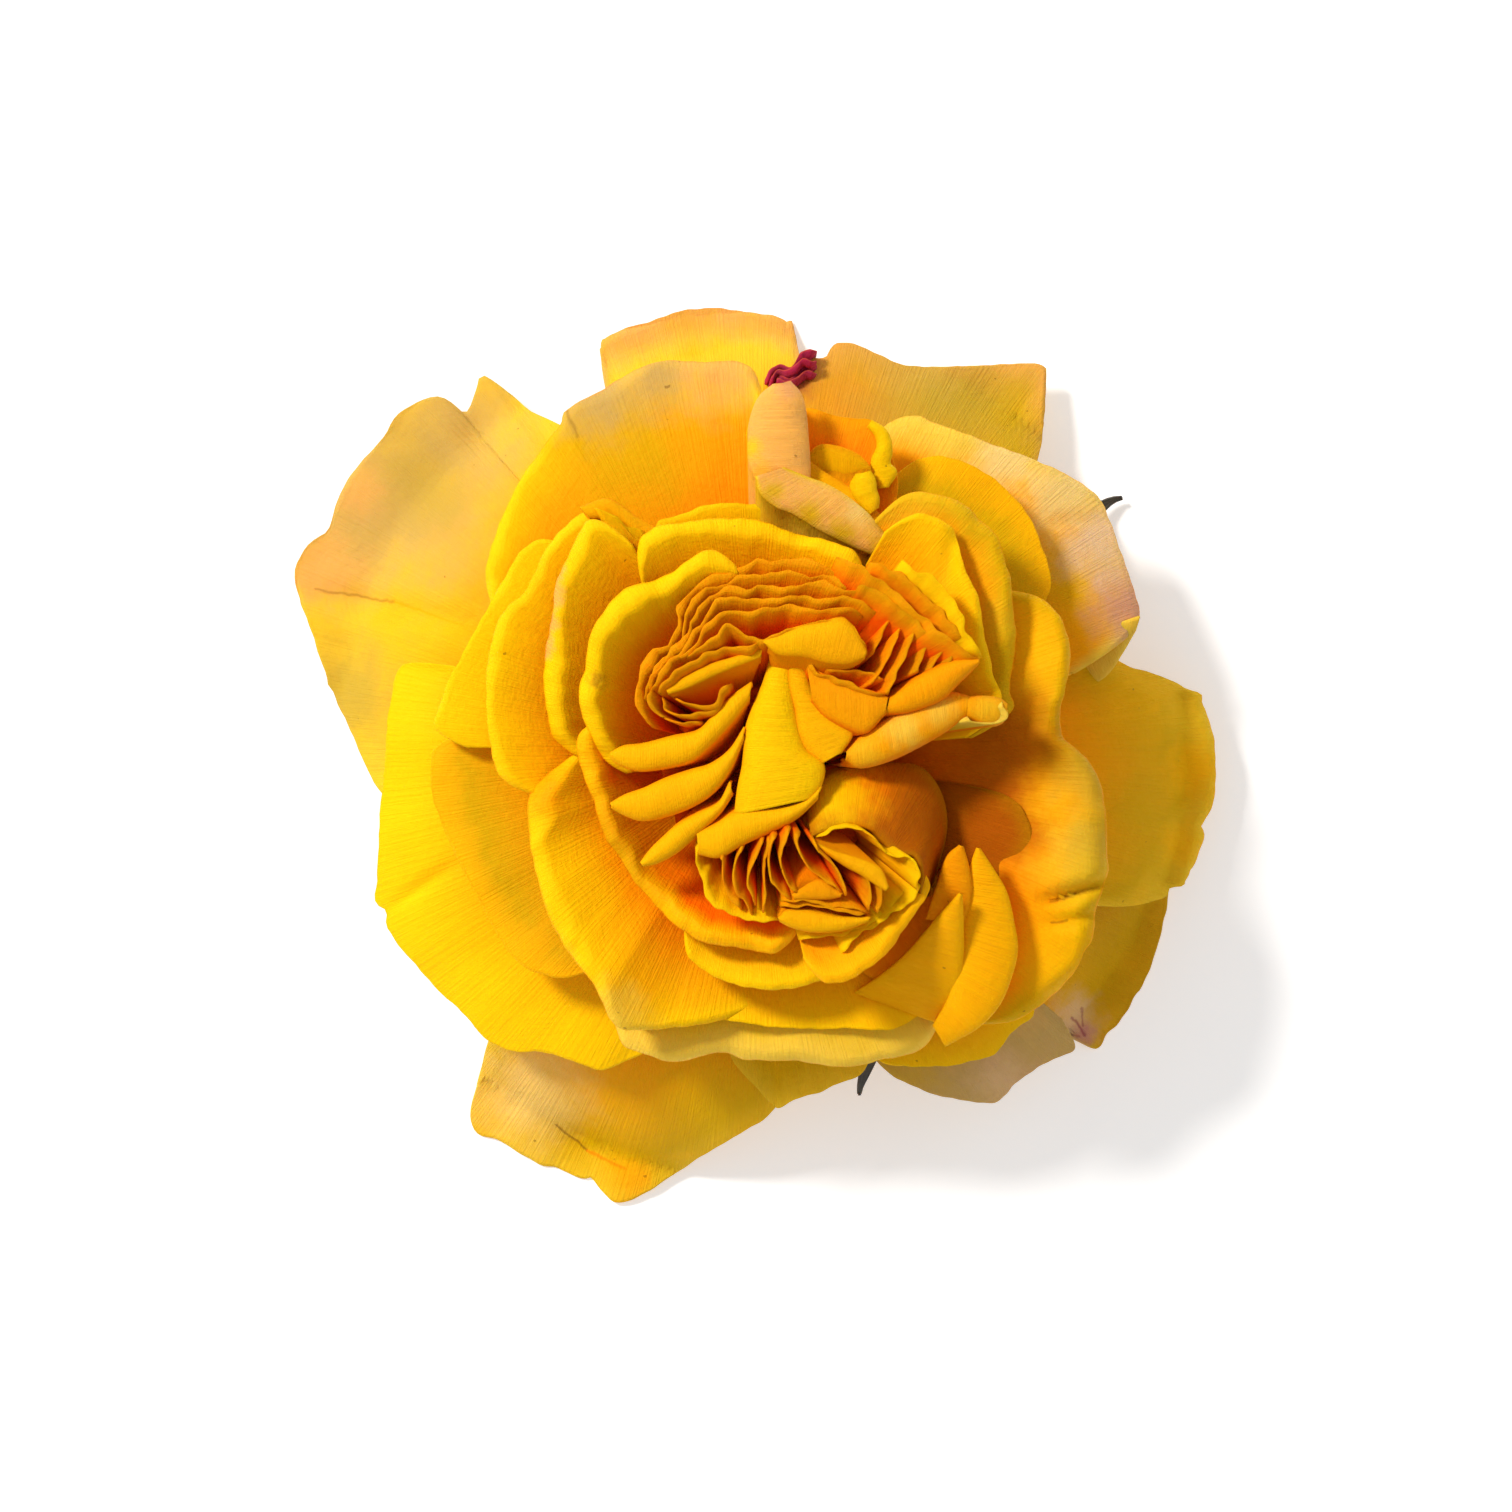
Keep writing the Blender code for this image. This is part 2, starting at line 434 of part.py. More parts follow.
def make_bloom():
    for name, petal in PETALS.items():
        make_petal(name, *petal)
    for name, sepal in SEPALS.items():
        make_sepal(name, *sepal)
    make_heart("heart_upper", GOLD, UPPER_OUTLINE, UPPER_RIBBONS, UPPER_LOBES)
    make_heart("heart_lower", GOLD, LOWER_OUTLINE, LOWER_RIBBONS, LOWER_LOBES)
    make_heart("heart_fingers", YELLOW, FINGER_OUTLINE, [], FINGER_LOBES)
    make_turned("stem", GREEN, [(STEM_RADIUS, 0), (STEM_RADIUS, 1.6), (STEM_RADIUS + 0.5, STEM_TOP)])
    make_turned("hip", GREEN, [
        (3.6, STEM_TOP + SEAT_GAP), (5.4, 4.2), (6.2, 6), (5.8, 7.8), (5.2, HIP_TOP)])
    ball = RIB_START - SEAT_GAP
    tilts = [math.radians(t) for t in (112, 102, 92, 82, 70, 58, 48, 38, CROWN_TILT)]
    profile = [(5.2, HIP_TOP + SEAT_GAP)]
    profile += [(ball * math.sin(t), CUP_Z + ball * math.cos(t)) for t in tilts]
    make_turned("receptacle", GREEN, profile)


for old in list(bpy.data.objects):
    bpy.data.objects.remove(old)
make_bloom()
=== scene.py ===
"""Looks of the cut rose bloom: every petal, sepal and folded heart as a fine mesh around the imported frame.

Lengths are millimetres and angles are degrees until a mesh is made. A petal lies on the same family of nested
cups as its solid: a rib runs out from (0, CUP_Z) and leans from straight up by its layer angle times flare().
All outlines are drawn as the camera, straight above, sees them.
"""
import math
import random
from dataclasses import dataclass

import bpy
import numpy as np
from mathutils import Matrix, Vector


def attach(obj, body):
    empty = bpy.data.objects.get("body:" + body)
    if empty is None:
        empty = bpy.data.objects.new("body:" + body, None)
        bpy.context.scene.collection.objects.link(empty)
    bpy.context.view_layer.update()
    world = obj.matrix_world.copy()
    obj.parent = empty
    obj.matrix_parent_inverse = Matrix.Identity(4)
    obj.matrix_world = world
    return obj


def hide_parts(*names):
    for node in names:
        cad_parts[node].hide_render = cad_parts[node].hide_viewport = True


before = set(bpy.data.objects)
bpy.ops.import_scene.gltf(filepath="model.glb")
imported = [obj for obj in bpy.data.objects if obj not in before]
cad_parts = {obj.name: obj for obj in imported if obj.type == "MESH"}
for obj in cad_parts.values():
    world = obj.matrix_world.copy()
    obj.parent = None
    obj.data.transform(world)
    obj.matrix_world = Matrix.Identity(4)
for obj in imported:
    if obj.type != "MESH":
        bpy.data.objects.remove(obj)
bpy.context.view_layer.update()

MM = 0.001

# The cups, as in the part's source
CUP_Z = 14.0
RIB_START = 10.0
RIB_FULL = 55.0
FLARE_START = 0.55
FLARE_POWER = 1.5
CLAW_WIDTH = 0.30
CLAW_LENGTH = 0.55
EYE_Z = 975.0  # the outlines are drawn as an eye this high on the axis sees them
EYE_PLANE_Z = 25.0  # on the plane at this height

SHEET = 0.36  # thickness of a petal
RIM_THIN = 0.7  # a petal's rim is this share of that
LOWEST = 0.25  # where the middle of a petal that reaches the floor lies
BAND_START = 0.86  # where the rolled rim starts in a petal's own lengthwise coordinate

# Rounds of the searches for a rib's length, for a cup's lean at a height and for a petal's rim
RIB_ROUNDS = 40
CUP_ROUNDS = 12
RIM_ROUNDS = 5
CURVE_STEPS = 24  # steps of a smooth line from one given point to the next


# --- The cups ----------------------------------------------------------------------------------------------

def flare(rib):
    return FLARE_START + (1 - FLARE_START) * (np.minimum(rib, RIB_FULL) / RIB_FULL) ** FLARE_POWER


def nearer(z):
    """How much narrower than its outline a thing at the height z is, because the eye is nearer to it."""
    return (EYE_Z - z) / (EYE_Z - EYE_PLANE_Z)


def rib_to(reach, layer):
    """The length at which the rib of a layer is seen this far from the axis."""
    rib = np.array(reach, float)
    for _ in range(RIB_ROUNDS):
        tilt = np.radians(layer) * flare(rib)
        rib = rib + reach * nearer(CUP_Z + rib * np.cos(tilt)) - rib * np.sin(tilt)
    return rib


def fall(x, y, top, z):
    """Where the cup through the point seen at (x, y) at the height top passes the height z."""
    x, y = x * nearer(top), y * nearer(top)
    reach = np.maximum(np.hypot(x, y), 1e-3)
    tilt = np.arctan2(reach, top - CUP_Z)
    layer = tilt / flare(np.hypot(reach, top - CUP_Z))
    for _ in range(CUP_ROUNDS):
        tilt = layer * flare((z - CUP_Z) / np.cos(tilt))
    scale = (z - CUP_Z) * np.tan(tilt) / reach
    return x * scale, y * scale


# --- Lines -------------------------------------------------------------------------------------------------

def distance_along(line):
    """How far along a line each of its points lies, seen from above."""
    return np.concatenate([[0], np.cumsum(np.hypot(*np.diff(line, axis=0).T))])


def smooth_line(points, count):
    """count points along a smooth curve through the given ones, evenly spaced."""
    p = np.array(points, float)
    ends = np.vstack([2 * p[0] - p[1], p, 2 * p[-1] - p[-2]])
    t = np.linspace(0, 1, CURVE_STEPS, endpoint=False)[:, None]
    fine = [0.5 * (2 * b + (c - a) * t + (2 * a - 5 * b + 4 * c - d) * t**2 + (3 * b - a - 3 * c + d) * t**3)
            for a, b, c, d in zip(ends, ends[1:], ends[2:], ends[3:])]
    fine = np.vstack(fine + [p[-1:]])
    run = distance_along(fine)
    at = np.linspace(0, run[-1], count)
    return np.column_stack([np.interp(at, run, values) for values in fine.T])


def ripple(seed, at, lengths):
    """A smooth wave along at, of several wavelengths, between about -1 and 1."""
    rng = random.Random(seed)
    total = np.zeros_like(at)
    for length in lengths:
        total += np.sin(math.tau * at / length * rng.uniform(0.85, 1.15) + rng.uniform(0, math.tau))
    return total / len(lengths)


# --- Meshes ------------------------------------------------------------------------------------------------

def sheet_mesh(grid, along, across, thick=SHEET):
    """Points, faces, coordinates and face sides (1 is the back) of a closed sheet about a grid.

    along is the lengthwise coordinate of each of the grid's rows, across the crosswise one of its columns.
    """
    rows, columns = grid.shape[:2]
    normal = np.cross(np.gradient(grid, axis=0), np.gradient(grid, axis=1))
    normal /= np.maximum(np.linalg.norm(normal, axis=2, keepdims=True), 1e-9)
    half = (thick / 2) * (1 - (1 - RIM_THIN) * along**4)[:, None, None]
    front, back = grid + normal * half, grid - normal * half
    verts = np.vstack([front.reshape(-1, 3), back.reshape(-1, 3)])
    uvs = np.column_stack([np.repeat(along, columns), np.tile(across, rows)])
    index = np.arange(rows * columns).reshape(rows, columns)
    under = index + rows * columns
    a, b, c, d = index[:-1, :-1], index[:-1, 1:], index[1:, 1:], index[1:, :-1]
    faces = np.stack([a, d, c, b], -1).reshape(-1, 4).tolist()
    sides = [0] * len(faces) + [1] * len(faces)
    a, b, c, d = under[:-1, :-1], under[:-1, 1:], under[1:, 1:], under[1:, :-1]
    faces += np.stack([a, b, c, d], -1).reshape(-1, 4).tolist()
    edge = np.concatenate([index[0], index[1:, -1], index[-1, -2::-1], index[-2:0:-1, 0]])
    ahead = np.roll(edge, -1)
    faces += np.stack([edge, ahead, ahead + rows * columns, edge + rows * columns], -1).tolist()
    sides += [0] * len(edge)
    return verts, faces, np.vstack([uvs, uvs]), sides


def joined(name, sheets):
    """One smooth object from (sheet, front material, back material) triples."""
    verts, faces, uvs, sides, base, used = [], [], [], [], 0, []
    for (sheet_verts, sheet_faces, sheet_uvs, sheet_sides), *materials in sheets:
        for material in materials:
            if material not in used:
                used.append(material)
        verts.append(sheet_verts)
        faces += [[i + base for i in face] for face in sheet_faces]
        uvs.append(sheet_uvs)
        sides += [used.index(materials[side]) for side in sheet_sides]
        base += len(sheet_verts)
    mesh = bpy.data.meshes.new(name)
    mesh.from_pydata((np.vstack(verts) * MM).tolist(), [], faces)
    for material in used:
        mesh.materials.append(material)
    mesh.polygons.foreach_set("material_index", np.array(sides, np.int32))
    corner = np.zeros(len(mesh.loops), np.int32)
    mesh.loops.foreach_get("vertex_index", corner)
    mesh.uv_layers.new(name="petal").data.foreach_set("uv", np.vstack(uvs).astype(np.float32)[corner].ravel())
    mesh.shade_smooth()
    mesh.validate()
    obj = bpy.data.objects.new(name, mesh)
    bpy.context.scene.collection.objects.link(obj)
    return obj


# --- Materials ---------------------------------------------------------------------------------------------

SPECULAR = 0.05
ROUGH, ROUGH_SWING = 0.54, 0.14  # a petal's lowest roughness and how far its patches raise it
GLOW = 0.2  # share of light that passes into a petal
GLOW_RADIUS = (1.0, 0.6, 0.1)
GLOW_DEPTH = 0.8 * MM
BUMP_STRENGTH = 0.7
VEIN_BUMP, WRINKLE_BUMP, SKIN_BUMP = 0.07 * MM, 0.16 * MM, 0.14 * MM


def srgb(*values):
    """Blender's linear colour from one as a picture gives it, from 0 to 255."""
    shares = [value / 255 for value in values]
    return tuple(c / 12.92 if c <= 0.04045 else ((c + 0.055) / 1.055) ** 2.4 for c in shares)


class Graph:
    """Short calls for building one material's nodes."""

    def __init__(self, name):
        self.material = bpy.data.materials.new(name)
        self.material.use_nodes = True
        self.tree = self.material.node_tree
        self.shader = self.tree.nodes["Principled BSDF"]
        self.place = self.node("TexCoord", {}, "Object")
        self.px, self.py = (self.node("SeparateXYZ", {0: self.place}, axis) for axis in "XY")

    def put(self, socket, value):
        if hasattr(value, "is_output"):
            self.tree.links.new(value, socket)
        elif value is not None:
            socket.default_value = value

    def node(self, kind, inputs, output, **settings):
        """One output of a new node of this kind."""
        node = self.tree.nodes.new("ShaderNode" + kind)
        for setting, value in settings.items():
            setattr(node, setting, value)
        for socket, value in inputs.items():
            self.put(node.inputs[socket], value)
        return node.outputs[output]

    def math(self, operation, a, b=None):
        return self.node("Math", {0: a, 1: b}, 0, operation=operation)

    def add(self, a, b):
        return self.math("ADD", a, b)

    def less(self, a, b):
        return self.math("SUBTRACT", a, b)

    def times(self, a, b):
        return self.math("MULTIPLY", a, b)

    def noise(self, vector, scale, detail, rough=0.6):
        return self.node("TexNoise", {"Vector": vector, "Scale": scale, "Detail": detail, "Roughness": rough},
                         "Fac")

    def swing(self, noise, amount):
        """A noise that runs both ways from 0, amount from end to end."""
        return self.times(self.less(noise, 0.5), amount)

    def between(self, value, low, high):
        """0 below low, 1 above high."""
        return self.node("MapRange", {"Value": value, "From Min": low, "From Max": high}, "Result",
                         interpolation_type="SMOOTHSTEP")

    def scaled(self, vector, scale):
        return self.node("Mapping", {"Vector": vector, "Scale": scale}, "Vector")

    def mix(self, fac, a, b):
        a, b = ((*colour, 1) if isinstance(colour, tuple) else colour for colour in (a, b))
        return self.node("Mix", {0: fac, 6: a, 7: b}, 2, data_type="RGBA")

    def tint(self, colour, mask, strength, other):
        """The colour with the other one laid over it where the mask is 1."""
        return self.mix(self.times(mask, strength), colour, other)

    def ramp(self, fac, stops):
        colour = self.node("ValToRGB", {"Fac": fac}, "Color")
        elements = colour.node.color_ramp.elements
        while len(elements) < len(stops):
            elements.new(0.5)
        for element, (at, stop) in zip(elements, stops):
            element.position = at
            element.color = (*stop, 1)
        return colour

    def from_point(self, x, y):
        """How far a place lies from the point (x, y), along each axis."""
        return self.less(self.px, x * MM), self.less(self.py, y * MM)

    def finish(self, bumps, strength, **values):
        """Sets the shader's inputs, named with underscores for spaces, and its (height, distance) bumps."""
        normal = None
        for height, distance in bumps:
            normal = self.node("Bump", {"Strength": strength, "Distance": distance, "Height": height,
                                        "Normal": normal}, "Normal")
        for name, value in (*values.items(), ("Normal", normal)):
            self.put(self.shader.inputs[name.replace("_", " ")], value)
        return self.material


def spot_mask(g, x, y, radius):
    """1 inside a ragged round spot, seen from above."""
    dx, dy = g.from_point(x, y)
    radius_m = radius * MM
    away = g.math("SQRT", g.add(g.times(dx, dx), g.times(dy, dy)))
    ragged = g.swing(g.noise(g.place, 1400 / radius, 5), 1.5 * radius_m)
    return g.between(g.less(radius_m, g.add(away, ragged)), -0.4 * radius_m, 0.9 * radius_m)


def stroke_mask(g, x0, y0, x1, y1, width):
    """1 along a wavering line between two points, seen from above."""
    span = math.hypot(x1 - x0, y1 - y0)
    ux, uy = (x1 - x0) / span, (y1 - y0) / span
    dx, dy = g.from_point(x0, y0)
    half, width_m = span / 2 * MM, width * MM
    forward = g.add(g.times(dx, ux), g.times(dy, uy))
    beyond = g.math("MAXIMUM", g.less(g.math("ABSOLUTE", g.less(forward, half)), half), 0)
    aside = g.less(g.times(dy, ux), g.times(dx, uy))
    aside = g.add(aside, g.swing(g.noise(g.place, 320, 3), 3 * width_m))
    return g.between(g.less(width_m, g.add(g.math("ABSOLUTE", aside), beyond)), 0, width_m)


def petal_material(name, claw, middle, below, rim, blotch, spots, strokes):
    """A petal's colours from claw to rim.

    blotch is (colour, strength), spots are (x, y, radius, colour, strength) and strokes (x, y, x, y, width,
    colour, strength), from above.
    """
    g = Graph(name)
    uv = g.node("UVMap", {}, "UV", uv_map="petal")
    along = g.node("SeparateXYZ", {0: uv}, "X")
    streaks = g.noise(g.scaled(uv, (1.6, 15, 1)), 1.0, 3, 0.5)
    veins = g.between(g.noise(g.scaled(uv, (6, 150, 1)), 1.0, 3), 0.35, 0.68)
    wrinkles = g.noise(g.scaled(uv, (60, 22, 1)), 1.0, 4)
    patches = g.noise(g.place, 70, 3, 0.55)
    mottle = g.noise(g.place, 750, 4, 0.65)
    specks = g.noise(g.place, 900, 1, 0.4)
    skin = g.noise(g.place, 700, 4, 0.62)

    # The rim's own colour follows its roll; further in, streaks and patches shift the colours
    shifted = g.add(g.add(along, g.swing(streaks, 0.09)), g.swing(patches, 0.16))
    shifted = g.mix(g.between(along, BAND_START - 0.07, BAND_START - 0.01), shifted, along)
    colour = g.ramp(shifted, [(0.1, claw), (0.48, middle), (BAND_START - 0.09, below), (BAND_START, rim),
                              (1.0, rim)])
    colour = g.tint(colour, g.between(patches, 0.48, 0.72), blotch[1], blotch[0])
    colour = g.tint(colour, g.less(1.0, veins), 0.07, middle)
    colour = g.tint(colour, g.between(mottle, 0.42, 0.75), 0.22, below)
    for *circle, tint, strength in spots:
        colour = g.tint(colour, spot_mask(g, *circle), strength, tint)
    for *line, tint, strength in strokes:
        colour = g.tint(colour, stroke_mask(g, *line), strength, tint)
    colour = g.tint(colour, g.between(specks, 0.80, 0.84), 0.5, BROWN)
    colour = g.tint(colour, g.between(along, 0.975, 1.0), 0.3, ORANGE)
    return g.finish(
        ((g.add(streaks, veins), VEIN_BUMP), (wrinkles, WRINKLE_BUMP), (skin, SKIN_BUMP)), BUMP_STRENGTH,
        Base_Color=colour, Roughness=g.add(ROUGH, g.times(patches, ROUGH_SWING)), Specular_IOR_Level=SPECULAR,
        Subsurface_Weight=GLOW, Subsurface_Radius=GLOW_RADIUS, Subsurface_Scale=GLOW_DEPTH)


def green_material(name, colour, other, rough):
    """The green of stem and sepals, mottled with another one."""
    g = Graph(name)
    mottled = g.noise(g.place, 260, 4)
    return g.finish([(g.noise(g.place, 900, 3), 0.2 * MM)], 0.4,
                    Base_Color=g.mix(g.between(mottled, 0.35, 0.7), colour, other),
                    Roughness=g.add(rough, g.times(mottled, 0.15)),
                    Subsurface_Weight=0.1, Subsurface_Scale=MM)


UMBER = srgb(150, 54, 0)
# Painted shade: the darkened colour of the hood and of middle_right, which lie in shade
HOOD_SHADE = srgb(182, 114, 0)
HONEY = srgb(190, 142, 0)
# Painted shade: a darkened orange for the hood, middle_right, outer_right's inner wall and, in part, the
# lower walls of the folds
SHADE_ORANGE = srgb(178, 88, 0)
DEEP = srgb(250, 88, 0)
ORANGE = srgb(255, 112, 0)
AMBER = srgb(255, 138, 0)
GOLD = srgb(255, 162, 0)
YELLOW = srgb(255, 182, 0)
LEMON = srgb(255, 198, 0)
OCHRE = srgb(238, 156, 0)
OLIVE = srgb(212, 166, 0)
DULL = srgb(186, 152, 48)
STRAW = srgb(236, 190, 34)
CREAM = srgb(246, 205, 122)
PALE = srgb(242, 198, 66)
PEACH = srgb(234, 168, 82)
APRICOT = srgb(255, 180, 84)
BEIGE = srgb(192, 156, 86)
BLUSH = srgb(222, 182, 136)
PINK = srgb(200, 140, 122)
BURGUNDY = srgb(136, 20, 58)
CRIMSON = srgb(178, 40, 76)
BROWN = srgb(112, 62, 10)
WHITE = (1.0, 1.0, 1.0)
SEPAL_GREEN = green_material("sepal_green", srgb(36, 25, 19), srgb(52, 47, 25), 0.55)
STEM_GREEN = green_material("stem_green", srgb(104, 128, 62), srgb(134, 150, 76), 0.42)

# look: (colours at the claw, halfway, below the rim and along the rim, then the blotch and its strength)
LOOKS = {
    "guard": (ORANGE, GOLD, STRAW, PEACH, (OLIVE, 0.7)),
    "meadow": (ORANGE, GOLD, STRAW, STRAW, (OLIVE, 0.4)),
    "dull": (ORANGE, GOLD, OLIVE, PEACH, (BEIGE, 0.2)),
    "olive": (ORANGE, GOLD, OLIVE, STRAW, (YELLOW, 0.4)),
    "shade": (ORANGE, GOLD, OLIVE, YELLOW, (GOLD, 0.3)),
    "saucer": (DEEP, AMBER, GOLD, PALE, (YELLOW, 0.4)),
    "straw": (DEEP, AMBER, GOLD, OLIVE, (STRAW, 0.4)),
    "roll": (ORANGE, GOLD, STRAW, PALE, (STRAW, 0.4)),
    "yellow_rim": (DEEP, AMBER, GOLD, LEMON, (YELLOW, 0.3)),
    "bright": (DEEP, AMBER, YELLOW, LEMON, (GOLD, 0.3)),
    "gold": (DEEP, AMBER, GOLD, YELLOW, (AMBER, 0.3)),
    "amber": (DEEP, ORANGE, AMBER, GOLD, (GOLD, 0.3)),
    # Painted shade: the hood's dark colours stand in for the shade it lies in
    "hood": (UMBER, HOOD_SHADE, HOOD_SHADE, SHADE_ORANGE, (SHADE_ORANGE, 0.3)),
    "ring": (DEEP, ORANGE, ORANGE, YELLOW, (AMBER, 0.3)),
    # Painted shade: dark colours for middle_right, which lies in the shade of the pocket beside the hood
    "pocket_shade": (UMBER, SHADE_ORANGE, SHADE_ORANGE, HOOD_SHADE, (HOOD_SHADE, 0.5)),
    "yellow": (DEEP, AMBER, GOLD, YELLOW, (GOLD, 0.3)),
    "lemon": (ORANGE, GOLD, LEMON, LEMON, (YELLOW, 0.3)),
    "peach": (ORANGE, GOLD, APRICOT, APRICOT, (PALE, 0.25)),
    "blush": (ORANGE, PEACH, BEIGE, BEIGE, (PINK, 0.3)),
    "heart": (UMBER, DEEP, ORANGE, GOLD, (ORANGE, 0.2)),
    # The folds' deep orange lower walls are partly their own colour, partly painted shade between the folds
    "fold": (SHADE_ORANGE, SHADE_ORANGE, DEEP, OCHRE, (GOLD, 0.3)),
    "lip": (ORANGE, AMBER, AMBER, GOLD, (PEACH, 0.7)),
    "cream": (ORANGE, GOLD, STRAW, PALE, (CREAM, 0.3)),
    "olive_roll": (ORANGE, GOLD, STRAW, PEACH, (PALE, 0.5)),
    "wound": (BURGUNDY, BURGUNDY, CRIMSON, CRIMSON, (PINK, 0.4)),
    "back": (OLIVE, YELLOW, STRAW, STRAW, (PALE, 0.3)),
}

# Spots of looks that only folds and lobes have
FOLD_SPOTS = {
    # Painted highlights: pale spots along the lip's upper edge
    "lip": ((13.4, 0.6, 2.6, STRAW, 0.5), (18, 3.4, 2.6, PALE, 0.7), (22.6, 5.8, 2.4, PALE, 0.6),
        (28.6, 6, 2.6, STRAW, 0.6)),
    # Painted light: lighter spots on the hood's upper left, where light falls
    "hood": ((13, -5, 5, AMBER, 0.5), (9.4, -4.6, 5.5, LEMON, 0.8)),
    "peach": ((-0.8, 38, 1.6, LEMON, 0.8), (0.6, 34.6, 2, YELLOW, 0.6), (5.8, 37, 1.6, PEACH, 0.9),
        (5.6, 42, 1.8, PEACH, 0.9), (4, 45.6, 2, PINK, 0.35)),
    "olive_roll": ((2, 32.6, 1.6, OLIVE, 0.8), (6.6, 29.6, 2, OLIVE, 0.9), (10.6, 27.4, 2, OLIVE, 0.9),
        (15.4, 25.4, 2.4, OLIVE, 0.9), (9.6, 32.4, 2, APRICOT, 0.5), (12.8, 30.4, 2, CREAM, 0.5)),
}
MADE = {}


def look(name, spots=(), strokes=()):
    """The material of a look, made once for the same spots and strokes."""
    key = (name, spots, strokes)
    if key not in MADE:
        MADE[key] = petal_material(f"petal_{name}_{len(MADE)}", *LOOKS[name], spots, strokes)
    return MADE[key]


def fold_look(name):
    """The look of a fold or lobe, with its spots."""
    return look(name, FOLD_SPOTS.get(name, ()))


# --- Petals ------------------------------------------------------------------------------------------------

RIBS = 100  # across a petal
STATIONS = 36  # along a rib, below the rolled rim
WAVE, PLEAT = 0.5, 0.08  # heights of a petal's long and short waves
ROLL_STEPS = 11  # round the rolled rim
BEND_FIRST = 2.0  # how much sooner than evenly a rim bends over
LEAST_BEND = 0.15  # radians that every rim bends over
END_FADE = 0.07  # share of a rim, at each end, over which its roll and crinkles come in
CORNER = 0.11  # share of a rim, at each end, that its taper rounds off
END_ROLL = 0.25  # size of the roll at the very ends
CRINKLE = 0.13  # how far the rim's crinkles stand out
BOWL_START = 0.55  # where a bowl begins, along a rib


@dataclass
class Petal:
    """A petal's cup, how its rim behaves and where that rim is seen from above."""
    look: str
    layer: object  # the cup's layer angle, alone or as (place along the rim, angle) pairs
    curl: object  # radius of the rolled rim, alone or as (place along the rim, radius) pairs
    lip: float  # how far the rolled rim leans over from straight up
    rim: list
    taper: float = 0.1  # how much its two corners are rounded off
    bowl: float = 0  # how far it rises steeply just below its rolled rim
    spots: tuple = ()
    creases: tuple = ()  # (one end, other end, depth, width)
    strokes: tuple = ()


def on_rim(value, across):
    """A value at places along a rim, from one value or from (place, value) pairs."""
    return np.interp(across, *zip(*value)) if isinstance(value, list) else value


def crease(grid, start, end, depth, wide):
    """Presses a furrow between two points, seen from above, into a grid."""
    x, y = grid[:, :, 0] - start[0], grid[:, :, 1] - start[1]
    dx, dy = end[0] - start[0], end[1] - start[1]
    t = np.clip((x * dx + y * dy) / (dx * dx + dy * dy), 0, 1)
    away = np.hypot(x - t * dx, y - t * dy)
    fade = np.sin(np.clip(t, 0.02, 0.98) * math.pi) ** 0.5
    grid[:, :, 2] -= depth * np.exp(-(away / wide) ** 2) * fade


def petal_sheet(name, petal):
    """A petal that fills its cup between the claw and the rim, with its edge rolled outward."""
    rim = smooth_line(petal.rim, RIBS)
    run = distance_along(rim)
    across = run / run[-1]
    ends = np.minimum(across, 1 - across)
    edge = np.clip(ends / END_FADE, 0, 1)
    azimuth = np.unwrap(np.arctan2(rim[:, 1], rim[:, 0]))
    reach = np.hypot(rim[:, 0], rim[:, 1]) * (1 - petal.taper * (1 - np.clip(ends / CORNER, 0, 1)) ** 2)
    reach = reach + CRINKLE * ripple(name + "r", run, (2.3, 3.7, 6.1, 9.7)) * edge
    uneven = 0.82 + 0.2 * ripple(name + "c", run, (13, 23)) + 0.1 * ripple(name + "f", run, (6.5, 4.1))
    curl = on_rim(petal.curl, across) * uneven * (END_ROLL + (1 - END_ROLL) * edge)
    lip = np.radians(petal.lip) * (0.97 + 0.08 * ripple(name + "t", run, (9, 17)))
    degrees = on_rim(petal.layer, across)
    layer, length = np.radians(degrees), rib_to(reach, degrees)

    u = np.linspace(0, 1, STATIONS)[:, None]
    width = CLAW_WIDTH + (1 - CLAW_WIDTH) * np.sin(np.minimum(u / CLAW_LENGTH, 1) * math.pi / 2)
    middle = (azimuth[0] + azimuth[-1]) / 2
    theta = middle + (azimuth - middle) * width
    outward = WAVE * ripple(name + "w", run, (27, 16)) * u**3 + PLEAT * ripple(name + "p", run, (9, 6)) * u**4
    outward = outward - petal.bowl * np.clip((u - BOWL_START) / (1 - BOWL_START), 0, 1) ** 2

    share = np.linspace(0, 1, ROLL_STEPS + 1)[:, None]
    bent = 1 - (1 - share) ** BEND_FIRST
    for _ in range(RIM_ROUNDS):  # until the rolled rim is seen where the outline has it
        rib = RIB_START + (length - RIB_START) * u
        tilt = layer * flare(rib) + outward / rib
        r, z = rib * np.sin(tilt), CUP_Z + rib * np.cos(tilt)
        start = np.arctan2(r[-1] - r[-2], z[-1] - z[-2])
        over = np.maximum(lip, start + LEAST_BEND)
        lean = start + (over - start) * (bent[1:] + bent[:-1]) / 2
        step = curl * (over - start) / ROLL_STEPS
        out, up = np.cumsum(np.sin(lean) * step, 0), np.cumsum(np.cos(lean) * step, 0)
        want = reach * nearer(z[-1]) - out[-1]
        length = length + (want - r[-1]) / np.maximum(np.sin(tilt[-1]), 0.3)
    r, z = np.vstack([r, r[-1] + out]), np.vstack([z, z[-1] + up])
    theta = np.vstack([theta, np.repeat(azimuth[None, :], ROLL_STEPS, 0)])
    grid = np.stack([r * np.cos(theta), r * np.sin(theta), z], -1)
    for furrow in petal.creases:
        crease(grid, *furrow)
    grid[:, :, 2] = np.maximum(grid[:, :, 2], LOWEST)
    if azimuth[-1] < azimuth[0]:
        grid = grid[:, ::-1]
    along = np.vstack([u * BAND_START, BAND_START + (1 - BAND_START) * share[1:]])[:, 0]
    return sheet_mesh(grid, along, across)


# --- Folds and lobes ---------------------------------------------------------------------------------------

